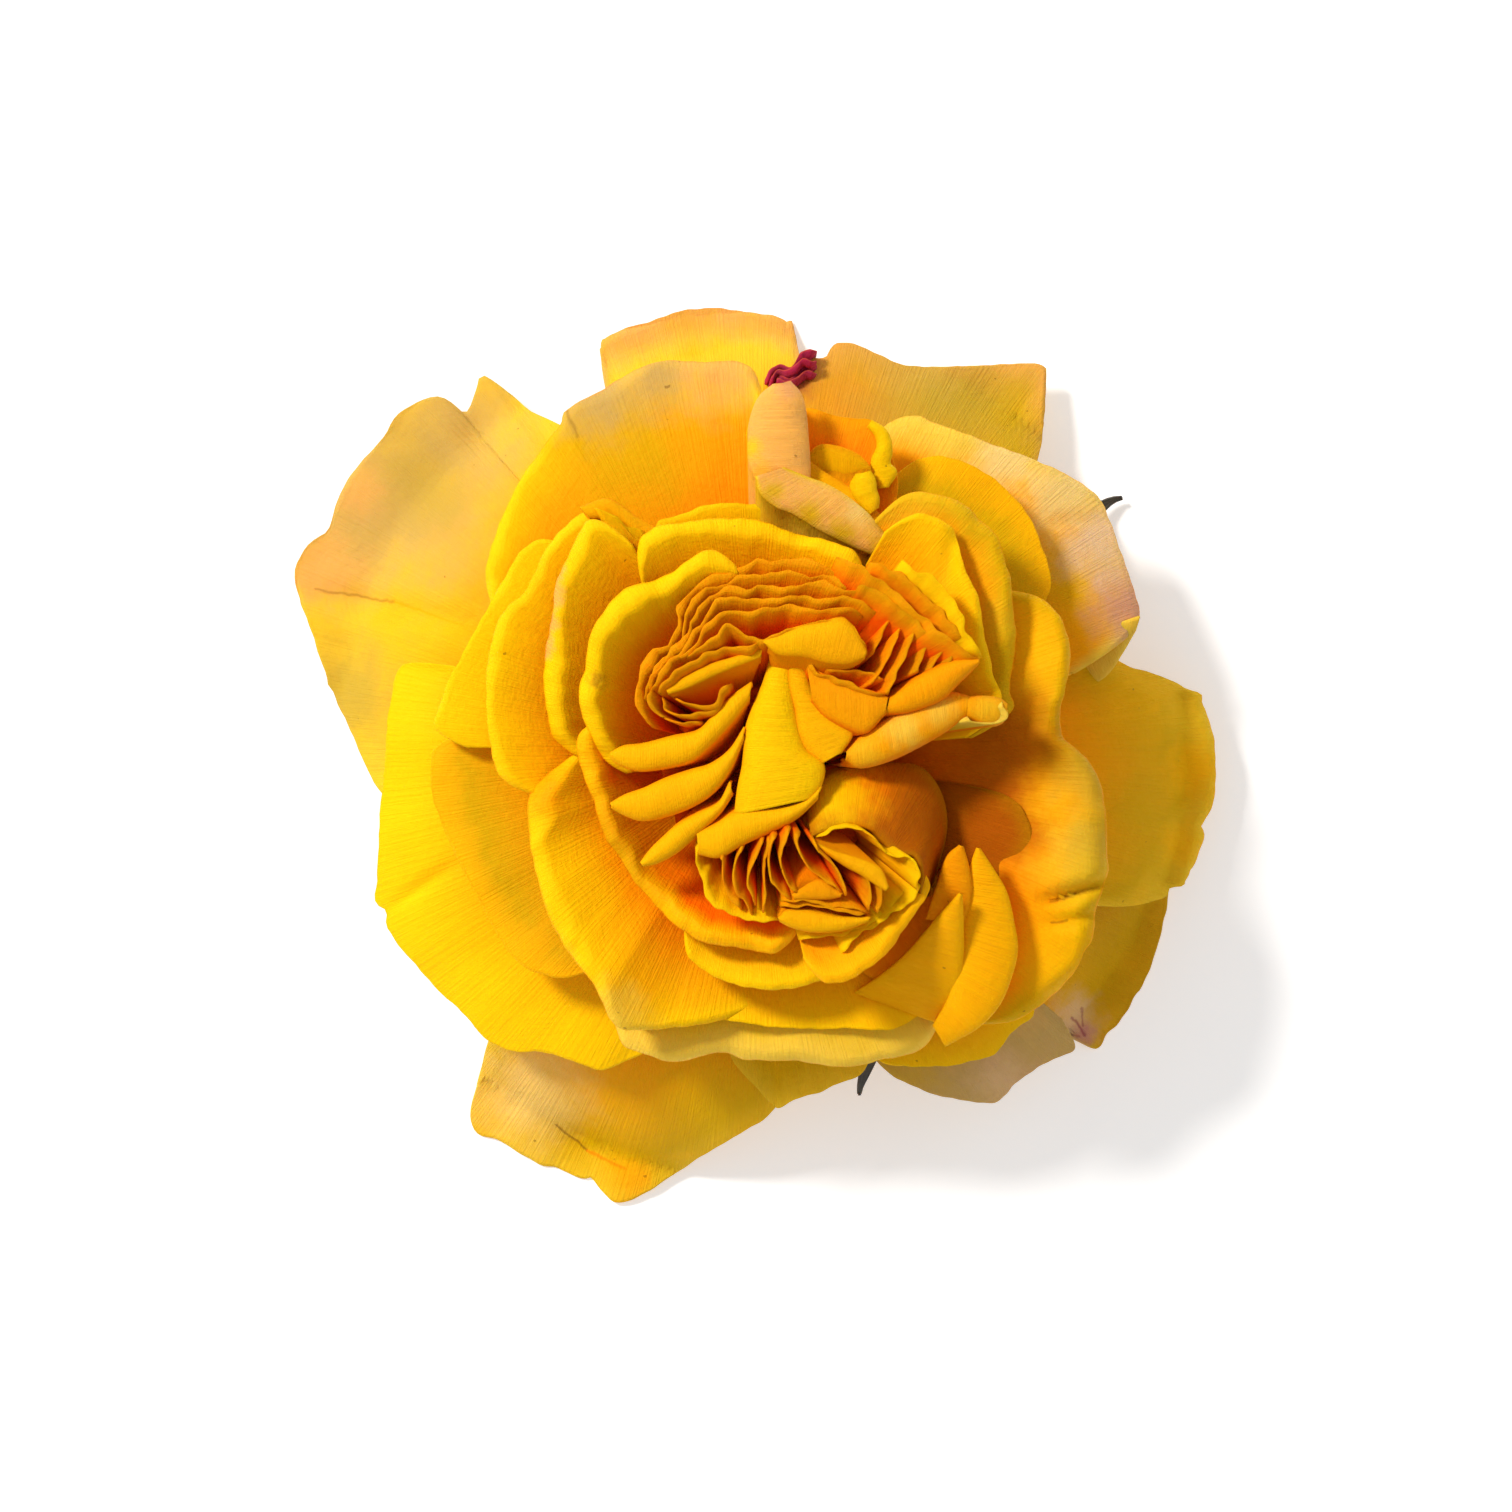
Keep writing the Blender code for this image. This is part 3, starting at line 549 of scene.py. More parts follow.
FOLD_COLUMNS = 54
FOLD_LEVELS = 16  # points up a folded petal
FOLD_ROLL_STEPS = 8  # round its rolled edge
FOLD_FOOT = 26.0  # height that it is carried down to
FOLD_DEPTH = 6.0  # and how far below its rim that is at least
FOLD_END = 0.1  # share of its rim, at each end, over which it sinks and its roll fades
FOLD_SINK = 1.6  # how far its ends sink
FOLD_SWAY = 0.3  # how far its upper part sways to the sides
FOLD_THICK = 0.34
LOBE_COLUMNS = 48
LOBE_SIDE = 6  # points up each side of a lobe
LOBE_ARC = 20  # and over its back
LOBE_DEPTH = 9.0  # how far its sides run down
CORE_COLUMNS = 72
CORE_LEVELS = 8  # points up the side of a heart's core
CORE_RINGS = 9  # and from there to its middle
CORE_FOOT = 23.2
CORE_TOP = 37.5
CORE_SEEN = 45.0  # height at which its outline is seen


def fold_sheet(name, height, points, curl=1.1, lip=105, rise=0.28, columns=FOLD_COLUMNS, wall=0):
    """An upright petal whose rim follows points at about this height, with its edge rolled outward.

    It follows the cup through its rim down, or with a wall goes straight down by that much.
    """
    line = smooth_line(points, columns)
    run = distance_along(line)
    across = run / run[-1]
    edge = np.clip(np.minimum(across, 1 - across) / FOLD_END, 0, 1)
    tops = height + rise * ripple(name, run, (11, 6.5)) - FOLD_SINK * (1 - edge) ** 2
    curls = curl * (0.85 + 0.35 * ripple(name + "c", run, (5, 8))) * (0.35 + 0.65 * edge)
    outward = line / np.maximum(np.hypot(line[:, 0], line[:, 1]), 1e-3)[:, None]
    seen_x, seen_y = (line - outward * curls[:, None]).T
    sway = FOLD_SWAY * ripple(name + "s", run, (6, 3.6, 2.4))
    foot = min(FOLD_FOOT, height - FOLD_DEPTH)
    rows, along = [], []
    for share in np.linspace(0, 1, FOLD_LEVELS):
        if wall:
            x, y, z = seen_x * nearer(tops), seen_y * nearer(tops), tops - wall * (1 - share)
        else:
            z = foot + (tops - foot) * share ** 0.75
            x, y = fall(seen_x, seen_y, tops, z)
        rows.append(np.column_stack([np.column_stack([x, y]) + outward * (sway * share**3)[:, None], z]))
        along.append(0.2 + (BAND_START - 0.2) * share)
    last = rows[-1]
    rise_x, rise_y, rise_z = (last - rows[-2]).T
    start = np.arctan2(np.hypot(rise_x, rise_y), rise_z)
    over = np.maximum(np.radians(lip) * (0.95 + 0.2 * ripple(name + "t", run, (6, 9.3))), start + 0.3)
    for k in range(1, FOLD_ROLL_STEPS + 1):
        share = k / FOLD_ROLL_STEPS
        lean = start + (over - start) * share
        out = curls * (np.cos(start) - np.cos(lean))
        up = curls * (np.sin(lean) - np.sin(start))
        rows.append(last + np.column_stack([outward * out[:, None], up]))
        along.append(BAND_START + (1 - BAND_START) * share)
    return sheet_mesh(np.array(rows), np.array(along), across, FOLD_THICK)


def lobe_sheet(name, heights, rise, edge, other, wall=0, shade=(0.72, 0.92)):
    """A petal whose rounded back lies between its two edges; its sides run down into the bloom.

    heights is one height, or those of the edge's start and end and then the other edge's. A wall is the depth
    of sides that go straight down. shade is where the colours of the edges and the back are in the look.
    """
    heights = heights if isinstance(heights, tuple) else (heights,) * 4
    a, b = smooth_line(edge, LOBE_COLUMNS), smooth_line(other, LOBE_COLUMNS)
    high_a, high_b = np.linspace(*heights[:2], LOBE_COLUMNS), np.linspace(*heights[2:], LOBE_COLUMNS)
    across = np.linspace(0, 1, LOBE_COLUMNS)
    low, high = shade
    swell = 0.35 + 0.65 * np.sin(math.pi * np.clip(across, 0.03, 0.97)) ** 0.6
    depth = (wall or LOBE_DEPTH) * np.clip(np.minimum(across, 1 - across) / 0.2, 0.12, 1)
    side_shares = [k / LOBE_SIDE for k in range(LOBE_SIDE)]

    def side(line, top, share):
        z = top - depth * (1 - share)
        x, y = line.T * nearer(top) if wall else fall(line[:, 0], line[:, 1], top, z)
        return np.column_stack([x, y, z])

    def back(share):
        over = 0.5 - 0.5 * math.cos(math.pi * share)
        arch = math.sin(math.pi * share)
        z = high_a + (high_b - high_a) * over + rise * arch * swell
        z = z + 0.05 * ripple(name + "b", across * 20, (9, 6)) * arch
        return np.column_stack([(a + (b - a) * over) * nearer(z)[:, None], z])

    arc_shares = [k / LOBE_ARC for k in range(LOBE_ARC + 1)]
    rows = [side(a, high_a, share) for share in side_shares] + [back(share) for share in arc_shares]
    rows += [side(b, high_b, share) for share in reversed(side_shares)]
    side_along = [0.4 + (low - 0.4) * share for share in side_shares]
    back_along = [low + (high - low) * math.sin(math.pi * share) for share in arc_shares]
    grid = np.array(rows)
    row, column = LOBE_SIDE + LOBE_ARC // 2 - 1, 20  # where its back faces up
    here, next_row, next_column = grid[row, column], grid[row + 1, column], grid[row, column + 1]
    if np.cross(next_row - here, next_column - here)[2] < 0:
        grid = grid[:, ::-1]
    return sheet_mesh(grid, np.array(side_along + back_along + side_along[::-1]), across)


def core_sheet(outline):
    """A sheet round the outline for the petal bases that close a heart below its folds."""
    ring = smooth_line(outline + outline[:1], CORE_COLUMNS)
    rows, along = [], []
    for k in range(CORE_LEVELS):
        share = k / (CORE_LEVELS - 1)
        z = CORE_FOOT + (CORE_TOP - CORE_FOOT) * share
        x, y = fall(ring[:, 0], ring[:, 1], CORE_SEEN, z)
        rows.append(np.column_stack([x, y, np.full(CORE_COLUMNS, z)]))
        along.append(0.3 * share)
    top = rows[-1][:, :2]
    for k in range(1, CORE_RINGS):
        t = k / CORE_RINGS
        z = CORE_TOP + 0.8 * math.sin(t * 3) + 0.5 * np.sin(np.arange(CORE_COLUMNS) * 0.7 + k)
        rows.append(np.column_stack([top * (1 - t) + top.mean(0) * t, z]))
        along.append(0.3)
    grid = np.array(rows)
    if np.cross(grid[1, 0] - grid[0, 0], grid[0, 1] - grid[0, 0]).dot(grid[0, 0] * (1, 1, 0)) < 0:
        grid = grid[:, ::-1]
    return sheet_mesh(grid, np.array(along), np.linspace(0, 1, CORE_COLUMNS), FOLD_THICK)


PETALS = {
    # Guard petals
    "guard_top": Petal("guard", 103.33, 2.2, 150, [
        (-18.7, 44), (-19.3, 51.1), (-18.7, 52.3), (-16, 53.6), (-13.3, 54.3), (-9.5, 55.6), (-5.6, 56),
        (-1.8, 55.6), (1.6, 55.1), (3.5, 54.4), (4.6, 53.2), (5.2, 50.9), (6, 46.5)], taper=0.05),
    # Painted shade: guard_top_right's olive patch on its right side; its burgundy spot is a real wound
    "guard_top_right": Petal("dull", 98.5, 1.2, 135, [
        (3, 44), (5, 49.2), (8.5, 49.7), (9.3, 50.8), (10.2, 51.6), (11.9, 51.5), (14.6, 50.4),
        (18.5, 48.8), (22.3, 48.6), (26.2, 48.6), (30, 48.9), (33.9, 49), (36, 48.7), (36.2, 47.7),
        (36, 42.9), (35.6, 39), (35, 34)], taper=0.05, spots=((4.5, 48.5, 3.6, BURGUNDY, 0.95),
        (12, 45, 8, ORANGE, 0.55), (33, 41, 9, OLIVE, 0.7), (20, 45, 16, DULL, 0.75))),
    "guard_upper_right": Petal("saucer", 91, 6, 140, [
        (14.6, 40), (16.2, 42.1), (20, 42.5), (22.3, 41.7), (26.2, 40.2), (31.6, 38.2), (35.4, 36.7),
        (39.2, 35), (41.9, 33.2), (43.1, 31.7), (44, 29.8), (44.8, 27.9), (45.4, 25.9), (46.4, 23.2),
        (47.1, 20.9), (47.8, 18.6), (47.8, 16.6), (46, 14), (44.2, 11.5)], bowl=1.5,
        spots=((39, 21, 10, OLIVE, 0.75), (47, 19.5, 6, PINK, 0.8), (43.5, 27, 6, BLUSH, 0.95),
        (38.5, 33.5, 5.5, CREAM, 0.9), (31, 37.5, 5, CREAM, 0.9), (24, 40.5, 4, PALE, 0.8)),
        creases=(((34, 29.5), (45, 29.5), 0.5, 0.6),)),
    "guard_right": Petal("olive", 96.8, 2.4, 150, [
        (43, 16), (45.5, 11.8), (49.2, 10.4), (51.9, 9.4), (54.2, 7.9), (55.8, 6.3), (56.7, 4.4),
        (57.2, 2.1), (57.4, -1.9), (57.3, -4.9), (56.6, -7.2), (55, -9.9), (54.4, -12.2), (54.1, -14.9),
        (53.1, -15.8), (51.6, -16.5), (51, -17.6), (46.9, -18.8), (42.7, -20)],
        spots=((55.5, -2, 4, YELLOW, 0.7), (54, -11, 3, YELLOW, 0.6), (48.5, -6, 4, OLIVE, 0.6))),
    # Painted shade: the large honey spot stands in for the bloom's shadow on this petal; the pink and
    # burgundy marks are real damage
    "guard_lower_right": Petal("olive", 103.34, 1.2, 130, [
        (50.5, -13), (51.4, -16.9), (51, -20.3), (50, -24.2), (48.9, -27.2), (47.3, -30.3), (45.4, -33.2),
        (43.9, -34.7), (42.7, -36.5), (40.4, -35.7), (37.7, -34.2), (33, -32.5)], taper=0.05,
        spots=((47, -24, 13, HONEY, 0.6), (40.5, -34, 4, BLUSH, 0.8), (42, -35.5, 1.6, PINK, 0.9)),
        strokes=((40.4, -33.4, 42.2, -35.8, 0.35, BURGUNDY, 0.6),
        (41.6, -32.2, 41.9, -34.6, 0.3, BURGUNDY, 0.5), (39.2, -35.4, 41.4, -36, 0.3, BURGUNDY, 0.4))),
    "guard_blush": Petal("blush", 95.2, 0.8, 120, [
        (40, -34.4), (40, -36.6), (38.1, -37.4), (35.4, -38.8), (32.7, -40.5), (31.2, -42.2), (29.6, -43.3),
        (26.2, -43), (22.3, -42.2), (18.5, -40.7), (14.6, -38.5)], taper=0.05,
        spots=((17.5, -40.5, 6, OLIVE, 0.6), (31, -41, 4, BLUSH, 0.5))),
    "guard_low": Petal("bright", 88.6, 1.2, 130, [
        (35.4, -30), (34.6, -32.4), (31.9, -34.5), (29.8, -37.2), (26.2, -38.2), (22.3, -38.8),
        (14, -38.4)], taper=0.08),
    "guard_bottom": Petal("olive", 98, 0.9, 120, [
        (15.2, -37.8), (12.7, -39.9), (10.8, -40.7), (8.1, -41.9), (5, -42.8), (2.9, -43.9), (2, -43.4),
        (0.1, -41.5), (-4.2, -36.6)], taper=0.05),
    "guard_bottom_left": Petal("olive", 102.82, 1, 130, [
        (5.1, -41.8), (3.1, -43.8), (0.5, -45.7), (-1.8, -47), (-5.6, -49.2), (-9.5, -51.7), (-13.3, -54.2),
        (-16, -55.6), (-17.6, -55.8), (-18.7, -54.9), (-20.5, -52.8), (-21.8, -52.8), (-24.9, -51.5),
        (-26.8, -51.1), (-29.9, -49.3), (-32.2, -48), (-34.7, -47.2), (-35.5, -46.1), (-35.6, -44.2),
        (-34.9, -41.5), (-34.3, -38.8), (-33.6, -33.5)], taper=0.05, spots=((-29, -43, 8, CREAM, 0.6),
        (-6, -44, 9, OLIVE, 0.6), (-16, -54, 3, GOLD, 0.6)), creases=(((-26.6, -46.6), (-16.8, -52.8), 1,
        1.2),), strokes=((-25.6, -47.2, -21.6, -50.6, 0.3, BROWN, 0.6),
        (-21.6, -50.6, -16.8, -52.8, 0.4, AMBER, 0.8))),
    "guard_left_lower": Petal("lemon", 93.5, 1.6, 140, [
        (-11.3, -36.4), (-13.3, -37.6), (-16.4, -38.4), (-19.3, -39.2), (-23, -38), (-26.8, -36.9),
        (-29.9, -36.9), (-33.9, -35.2), (-36.4, -32.2), (-39.5, -29.4), (-43, -25.5), (-45.6, -22.2),
        (-46.2, -20.8), (-46.2, -19.3), (-47.5, -18.2), (-47.3, -15.3), (-47.1, -10.3), (-46.8, -5.7),
        (-46.3, -0.5), (-46, 4.4), (-45.3, 8.6), (-44.6, 11.2), (-42.6, 11.8), (-38.6, 11.6)], taper=0.06,
        creases=(((-46.5, -19.4), (-37.5, -13.4), 0.8, 0.7),)),
    # Painted shade: the large beige patch about (-46, 34) is partly the petal's dull colour, partly painted
    # soft shade, and the brown and olive strokes paint shade along the long crease
    "guard_left": Petal("meadow", 102.22, 1.6, 140, [
        (-44.2, -9.5), (-46.7, -5.5), (-48.7, -1.2), (-50.3, 2.5), (-52.2, 6.7), (-54.1, 11.3),
        (-55.6, 15.9), (-57, 19.4), (-57.6, 21.5), (-57.5, 23.6), (-56.6, 25.6), (-55.3, 27.1),
        (-53.7, 27.9), (-53.1, 29.4), (-52.2, 32.1), (-50.6, 35.2), (-48.7, 37.3), (-46.8, 39.6),
        (-45.3, 42.1), (-44.1, 43.2), (-42.2, 44.3), (-40, 44.9), (-38.4, 44.3), (-37.4, 43.5),
        (-36.4, 42.8), (-35.6, 43.8), (-34.9, 45.8), (-34.3, 47.6), (-32.2, 46.3), (-30.3, 44.8),
        (-28.4, 43.3), (-26.4, 42.7), (-22.3, 41.6)], taper=0.05, spots=((-46, 34, 15, BEIGE, 0.85),
        (-42, 34, 8, DULL, 0.65), (-50, 29, 8, BEIGE, 0.45), (-36, 43, 8, BEIGE, 0.6),
        (-52, 8, 9, DULL, 0.85), (-56, 24, 5.5, PEACH, 0.9), (-51, 34, 4, PEACH, 0.6),
        (-42, 16, 6, YELLOW, 0.7)), creases=(((-56, 21), (-36, 16.5), 1.5, 1.6), ((-37, 43), (-34, 36), 1.2,
        1.8)), strokes=((-56.5, 21.4, -46, 19.6, 0.35, BROWN, 0.4),
        (-46, 19.6, -37, 16.4, 0.3, OLIVE, 0.8))),
    # Outer petals
    "outer_upper_left": Petal("yellow_rim", 82.8, [(0, 4.6), (0.47, 4.2), (0.53, 3), (1, 2.6)], 145, [
        (2, 42.4), (0.8, 45.6), (-0.6, 48.4), (-2.6, 49.4), (-6.4, 49.2), (-10.3, 49.4), (-13.3, 49),
        (-16, 47.7), (-18.7, 46.1), (-21.8, 44.4), (-23.9, 43), (-24.3, 41.6), (-26, 39.4), (-28, 36.7),
        (-29.9, 33.6), (-31.4, 30.6), (-32.6, 27.5), (-33.4, 24.8), (-33.9, 22.1), (-33.5, 17.8)],
        taper=0.03, bowl=2.5, spots=((-17, 38, 13, OLIVE, 0.85), (-20, 45, 6, BEIGE, 0.9),
        (-12, 47.6, 5.5, BEIGE, 0.9), (-4, 47.6, 5.5, PEACH, 0.9)),
        strokes=((-23.8, 43.4, -22.2, 39.8, 0.4, BROWN, 0.35),)),
    "outer_top_small": Petal("amber", 78, 0.9, 120, [
        (19.8, 33.6), (17.9, 34.6), (17.3, 36.2), (16.8, 38.2), (16, 40.6), (14.1, 42), (11.4, 42.2),
        (9.2, 42.7), (6, 43.3), (1, 41)], taper=0.22),
    "outer_top_fold": Petal("gold", 71.5, 1.2, 120, [
        (19.6, 23.4), (16.6, 27.2), (14.2, 30.4), (11.9, 32.1), (10, 33), (6.6, 34), (5.6, 36.5), (5.4, 39),
        (5.2, 42.9), (4.6, 44.6), (2.9, 45.6), (1.4, 45.2), (-0.4, 43), (-1.2, 40.1)], taper=0),
    "outer_upper_right_orange": Petal("shade", 83.5, 1, 125, [
        (37.1, 18.4), (36.8, 22.1), (35.8, 25.9), (34.6, 29), (32.7, 31.7), (30, 34.4), (26.9, 36.3),
        (23.9, 37.3), (21.2, 37.3), (17.4, 36.3)], taper=0.08),
    "outer_upper_right": [
        Petal("straw", 66, 2, 140, [
            (30, 2.6), (32.1, 6), (31.7, 8.2), (31.9, 10.6), (32.4, 14.4), (32.1, 18.2), (31.8, 21.7),
            (30.8, 25.2), (30, 27.5), (27.7, 29.8), (25.8, 31.5), (23.1, 32.5), (19.2, 32.9), (15.5, 31.5)],
            bowl=1),
        Petal("bright", 60.5, 1.2, 130, [
            (28.6, 2.6), (30.6, 7.1), (29.6, 10.2), (28.5, 15.2), (27.7, 19.8), (26, 23.6), (25.4, 26.3),
            (24, 28.9), (20.6, 30.4), (17.5, 30.4)], taper=0.08, bowl=1, creases=(((24.4, 28.6), (23.6, 21),
            0.8, 1),)),
    ],
    # Painted shade: the umber and dark orange spots on its inner wall stand in for the shade of the pocket
    # beside the hood, and the brown strokes for shade in the pinch creases
    "outer_right": Petal("straw", [(0, 83), (0.12, 80), (0.28, 74.5)], [(0, 1.5), (0.15, 3.6), (0.5, 4.2),
        (0.6, 2), (1, 1.6)], 150, [
        (28.2, -36), (31.2, -34.2), (33.9, -32.4), (36.9, -30.1), (39.6, -27.2), (41, -24.5), (42.2, -22.6),
        (42.4, -19.5), (43.3, -17), (44, -14.5), (43.9, -11.5), (43.7, -7.6), (43.1, -3.8), (41.9, -1.1),
        (40.4, 0.5), (38.6, 1.9), (38, 3.6), (38, 6), (38.6, 8.2), (39, 10.2), (39.2, 12.9), (38.9, 15),
        (38.1, 17.1), (36.6, 19), (34.6, 20.4), (30, 22.4)], taper=0.08, bowl=3,
        spots=((29, -4, 11, UMBER, 0.7), (31, -7, 6, SHADE_ORANGE, 0.6), (32, 3, 6, SHADE_ORANGE, 0.6),
        (33, 14, 7, YELLOW, 0.8), (38, -5, 5, YELLOW, 0.7), (39, -13, 5, STRAW, 0.7),
        (37, -25, 6, YELLOW, 0.6), (41, -3, 5, DULL, 0.5), (41, -11, 4, DULL, 0.5)),
        creases=(((35.5, -18.4), (43.5, -15.5), 2.4, 0.9), ((36, -20.8), (42, -19.8), 1.4, 0.8)),
        strokes=((36.5, -18, 42.5, -16.4, 0.4, BROWN, 0.45), (36.6, -20.6, 38.6, -20.4, 0.3, BROWN, 0.5))),
    "outer_bottom": [
        Petal("roll", 81, 2.8, 150, [
            (-19.2, -32), (-17.6, -34.5), (-16.4, -36.3), (-13.3, -37.4), (-10.6, -38.2), (-8.3, -37.8),
            (-4.1, -37), (-1.8, -37.8), (1.6, -38), (5, -38.1), (8.9, -38.6), (11.9, -38.8), (15.4, -38),
            (20, -36.9), (21.9, -35.3), (23.3, -32), (23.9, -28.7)], taper=0.06),
        Petal("bright", 79.4, 0.6, 110, [
            (-17, -32.6), (-14.1, -34), (-9.5, -33.4), (-4.1, -33), (-0.7, -33.5), (3.1, -33.9),
            (6.9, -34.1), (11.9, -34), (14.6, -34.2), (17.7, -34), (20.8, -31.9), (23.3, -29.7),
            (24.6, -26.4)], taper=0.02, bowl=1, spots=((-3.5, -30.7, 0.5, BROWN, 0.6),)),
    ],
    "outer_lower_left": Petal("shade", 80.5, 1.2, 125, [
        (-39.2, 3.6), (-40.5, 1.2), (-40.6, -1.9), (-40.3, -5.3), (-39.1, -8.8), (-37.6, -12.2),
        (-35.6, -16), (-33.4, -20.3), (-31, -24.2), (-28.7, -26.5), (-26, -27.4), (-20.8, -28.6)]),
    "outer_left": Petal("lemon", 75, 1.6, 135, [
        (-23.6, 27.4), (-26.6, 27.2), (-29.1, 25.8), (-30.6, 23.6), (-32.6, 20.2), (-34.9, 15.9),
        (-36.8, 12.5), (-38.4, 9.4), (-39.5, 6.3), (-40.5, 3.6), (-40, 1.2)]),
    "outer_lip_right": Petal("gold", 77, 0.6, 110, [
        (21.9, -32.6), (26.4, -32.8), (28.8, -31.4), (30.2, -29.4), (31, -26.9), (31.4, -24), (30.8, -21.1),
        (29.8, -18.4)]),
    # Middle petals
    "middle_left_a": Petal("bright", 69.5, 1.8, 140, [
        (-19.2, 32.4), (-21.6, 31.3), (-22.6, 29.8), (-24.9, 27.5), (-26.4, 25.6), (-27.6, 22.9),
        (-29.1, 20.2), (-31, 18.6), (-32.6, 15.9), (-33.4, 12.1), (-33.7, 8.2), (-33.4, 2.9), (-32.3, -2),
        (-30.6, -6)], taper=0.14, bowl=1.5),
    "middle_left_b": Petal("bright", 63.5, 2.1, 145, [
        (-18.1, 30.8), (-20.1, 30.2), (-21.4, 29), (-22.6, 26.7), (-24.1, 23.6), (-24.9, 21.7),
        (-25.3, 18.2), (-25.8, 15.3), (-26.3, 12.9), (-26.4, 8.2), (-25.6, 3.2), (-24.3, -0.6)], taper=0.14,
        bowl=2.2, strokes=((-24, 24.6, -26.2, 12.4, 1.6, PEACH, 0.8),)),
    "middle_lower_left": Petal("bright", [(0, 65.5), (0.62, 68), (0.8, 74), (1, 80.5)], [(0, 3.2), (0.5, 3),
        (0.7, 1.6), (1, 0.8)], 140, [
        (-23.6, 0.2), (-25.2, -1.4), (-26.6, -2.7), (-28, -4.4), (-28.5, -6.8), (-28, -12), (-26.5, -18),
        (-25.5, -21), (-23, -25), (-20, -29), (-17.6, -33.6), (-14.5, -34.2), (-9.6, -33.8), (-4, -33),
        (0, -32)], taper=0.04, bowl=1.5, spots=((-24, -15, 8, LEMON, 0.6), (-26, -4, 4, AMBER, 0.6),
        (-18, -32.5, 5, PALE, 0.7))),
    "middle_top_a": Petal("bright", 64.5, 1.2, 120, [
        (7.6, 29.4), (4.6, 30.5), (1.3, 31.4), (-1.8, 31.5), (-4.5, 31.5), (-6.4, 31.3), (-8.7, 30.4),
        (-11, 29.7), (-14.4, 28.9)], taper=0.22),
    "middle_top_b": Petal("bright", 58.8, 1.9, 145, [
        (15.2, 23.6), (12.2, 25.6), (9.2, 26.8), (5.5, 27.6), (4, 28.1), (2, 28.8), (-0.3, 29.5),
        (-2.4, 29.7), (-6.2, 29.5), (-9.1, 29.1), (-12.2, 28.7), (-14.4, 27.2), (-16.4, 24.6)], taper=0.14,
        bowl=1.5),
    # Painted shade: middle_right's dark colours stand in for the shade of the pocket beside the hood
    "middle_right": Petal("pocket_shade", 73, 0.6, 105, [
        (29.4, -18), (31.6, -16), (34, -12.6), (34.4, -9.6), (33.4, -6.8), (31, -4.9), (26, -3.6)],
        taper=0.22),
    "middle_lower_right": Petal("amber", 76, 0.5, 110, [
        (13.5, -28.4), (18.2, -26.8), (22.4, -24.4), (24, -21.6), (24.4, -18.4)]),
    "middle_bottom": Petal("bright", 61.5, 1.2, 130, [
        (-10.2, -23.4), (-7, -26.4), (-5.3, -27.5), (-2.8, -28.4), (-0.1, -29), (2.2, -29.2), (5.5, -28.8),
        (8, -28), (9.9, -27.2), (12.6, -24.8)], taper=0.15),
    # Ring petals
    "ring_left": Petal("bright", 49.5, 2.1, 140, [
        (-2.6, 26.6), (-5.8, 25.9), (-8.7, 24.2), (-10.6, 22.8), (-13, 21.8), (-15.1, 21.3), (-16.8, 20.4),
        (-18.7, 18.4), (-20.1, 16.3), (-20.9, 14), (-21.2, 11.1), (-21.8, 9.2), (-22.1, 7.7), (-21.8, 5.6),
        (-20.6, 2.6), (-19.4, -0.6), (-18.4, -2.4)], taper=0.12, bowl=1.5,
        spots=((-19.5, 9.2, 1.2, BROWN, 0.6),)),
    "ring_lower_left": Petal("ring", 54.5, 1.5, 140, [
        (-21.9, 5), (-22.7, 2.6), (-22.1, -0.3), (-21.3, -3), (-20.2, -5.7), (-19.4, -8.4), (-18.4, -10.9),
        (-16.9, -12.8), (-15.2, -15.5), (-13.2, -17.8), (-11.3, -19.9), (-9.8, -21.3), (-7, -23),
        (-4.9, -23.5), (-0.7, -24.2), (1.8, -24.6), (3.8, -24), (6.7, -22.4)], bowl=1.5,
        spots=((-15, -10, 9, HONEY, 0.6),)),
    "ring_lower_right": Petal("gold", 54.4, 1.4, 125, [
        (6.7, -28.2), (9.7, -28.4), (11.8, -27.8), (14.9, -25.9), (17, -23.8), (18.6, -21.3), (20.2, -19.2),
        (21.6, -17), (22, -14.4)], bowl=1),
}


def crumple_fold(k):
    """One of the burgundy folds that lie crumpled at the corner of guard_top_right."""
    rim = [(1.2 + k * 0.5, 47 - k * 0.4), (2.8, 48.9 - k * 0.7), (4.4, 48.6 - k * 0.6), (6, 50.3 - k * 0.8),
           (7.5, 50.4 - k * 0.9)]
    return fold_sheet, "wound", (14.2 + k % 2, rim, 0.9, 120, 0.8, 64, 4)


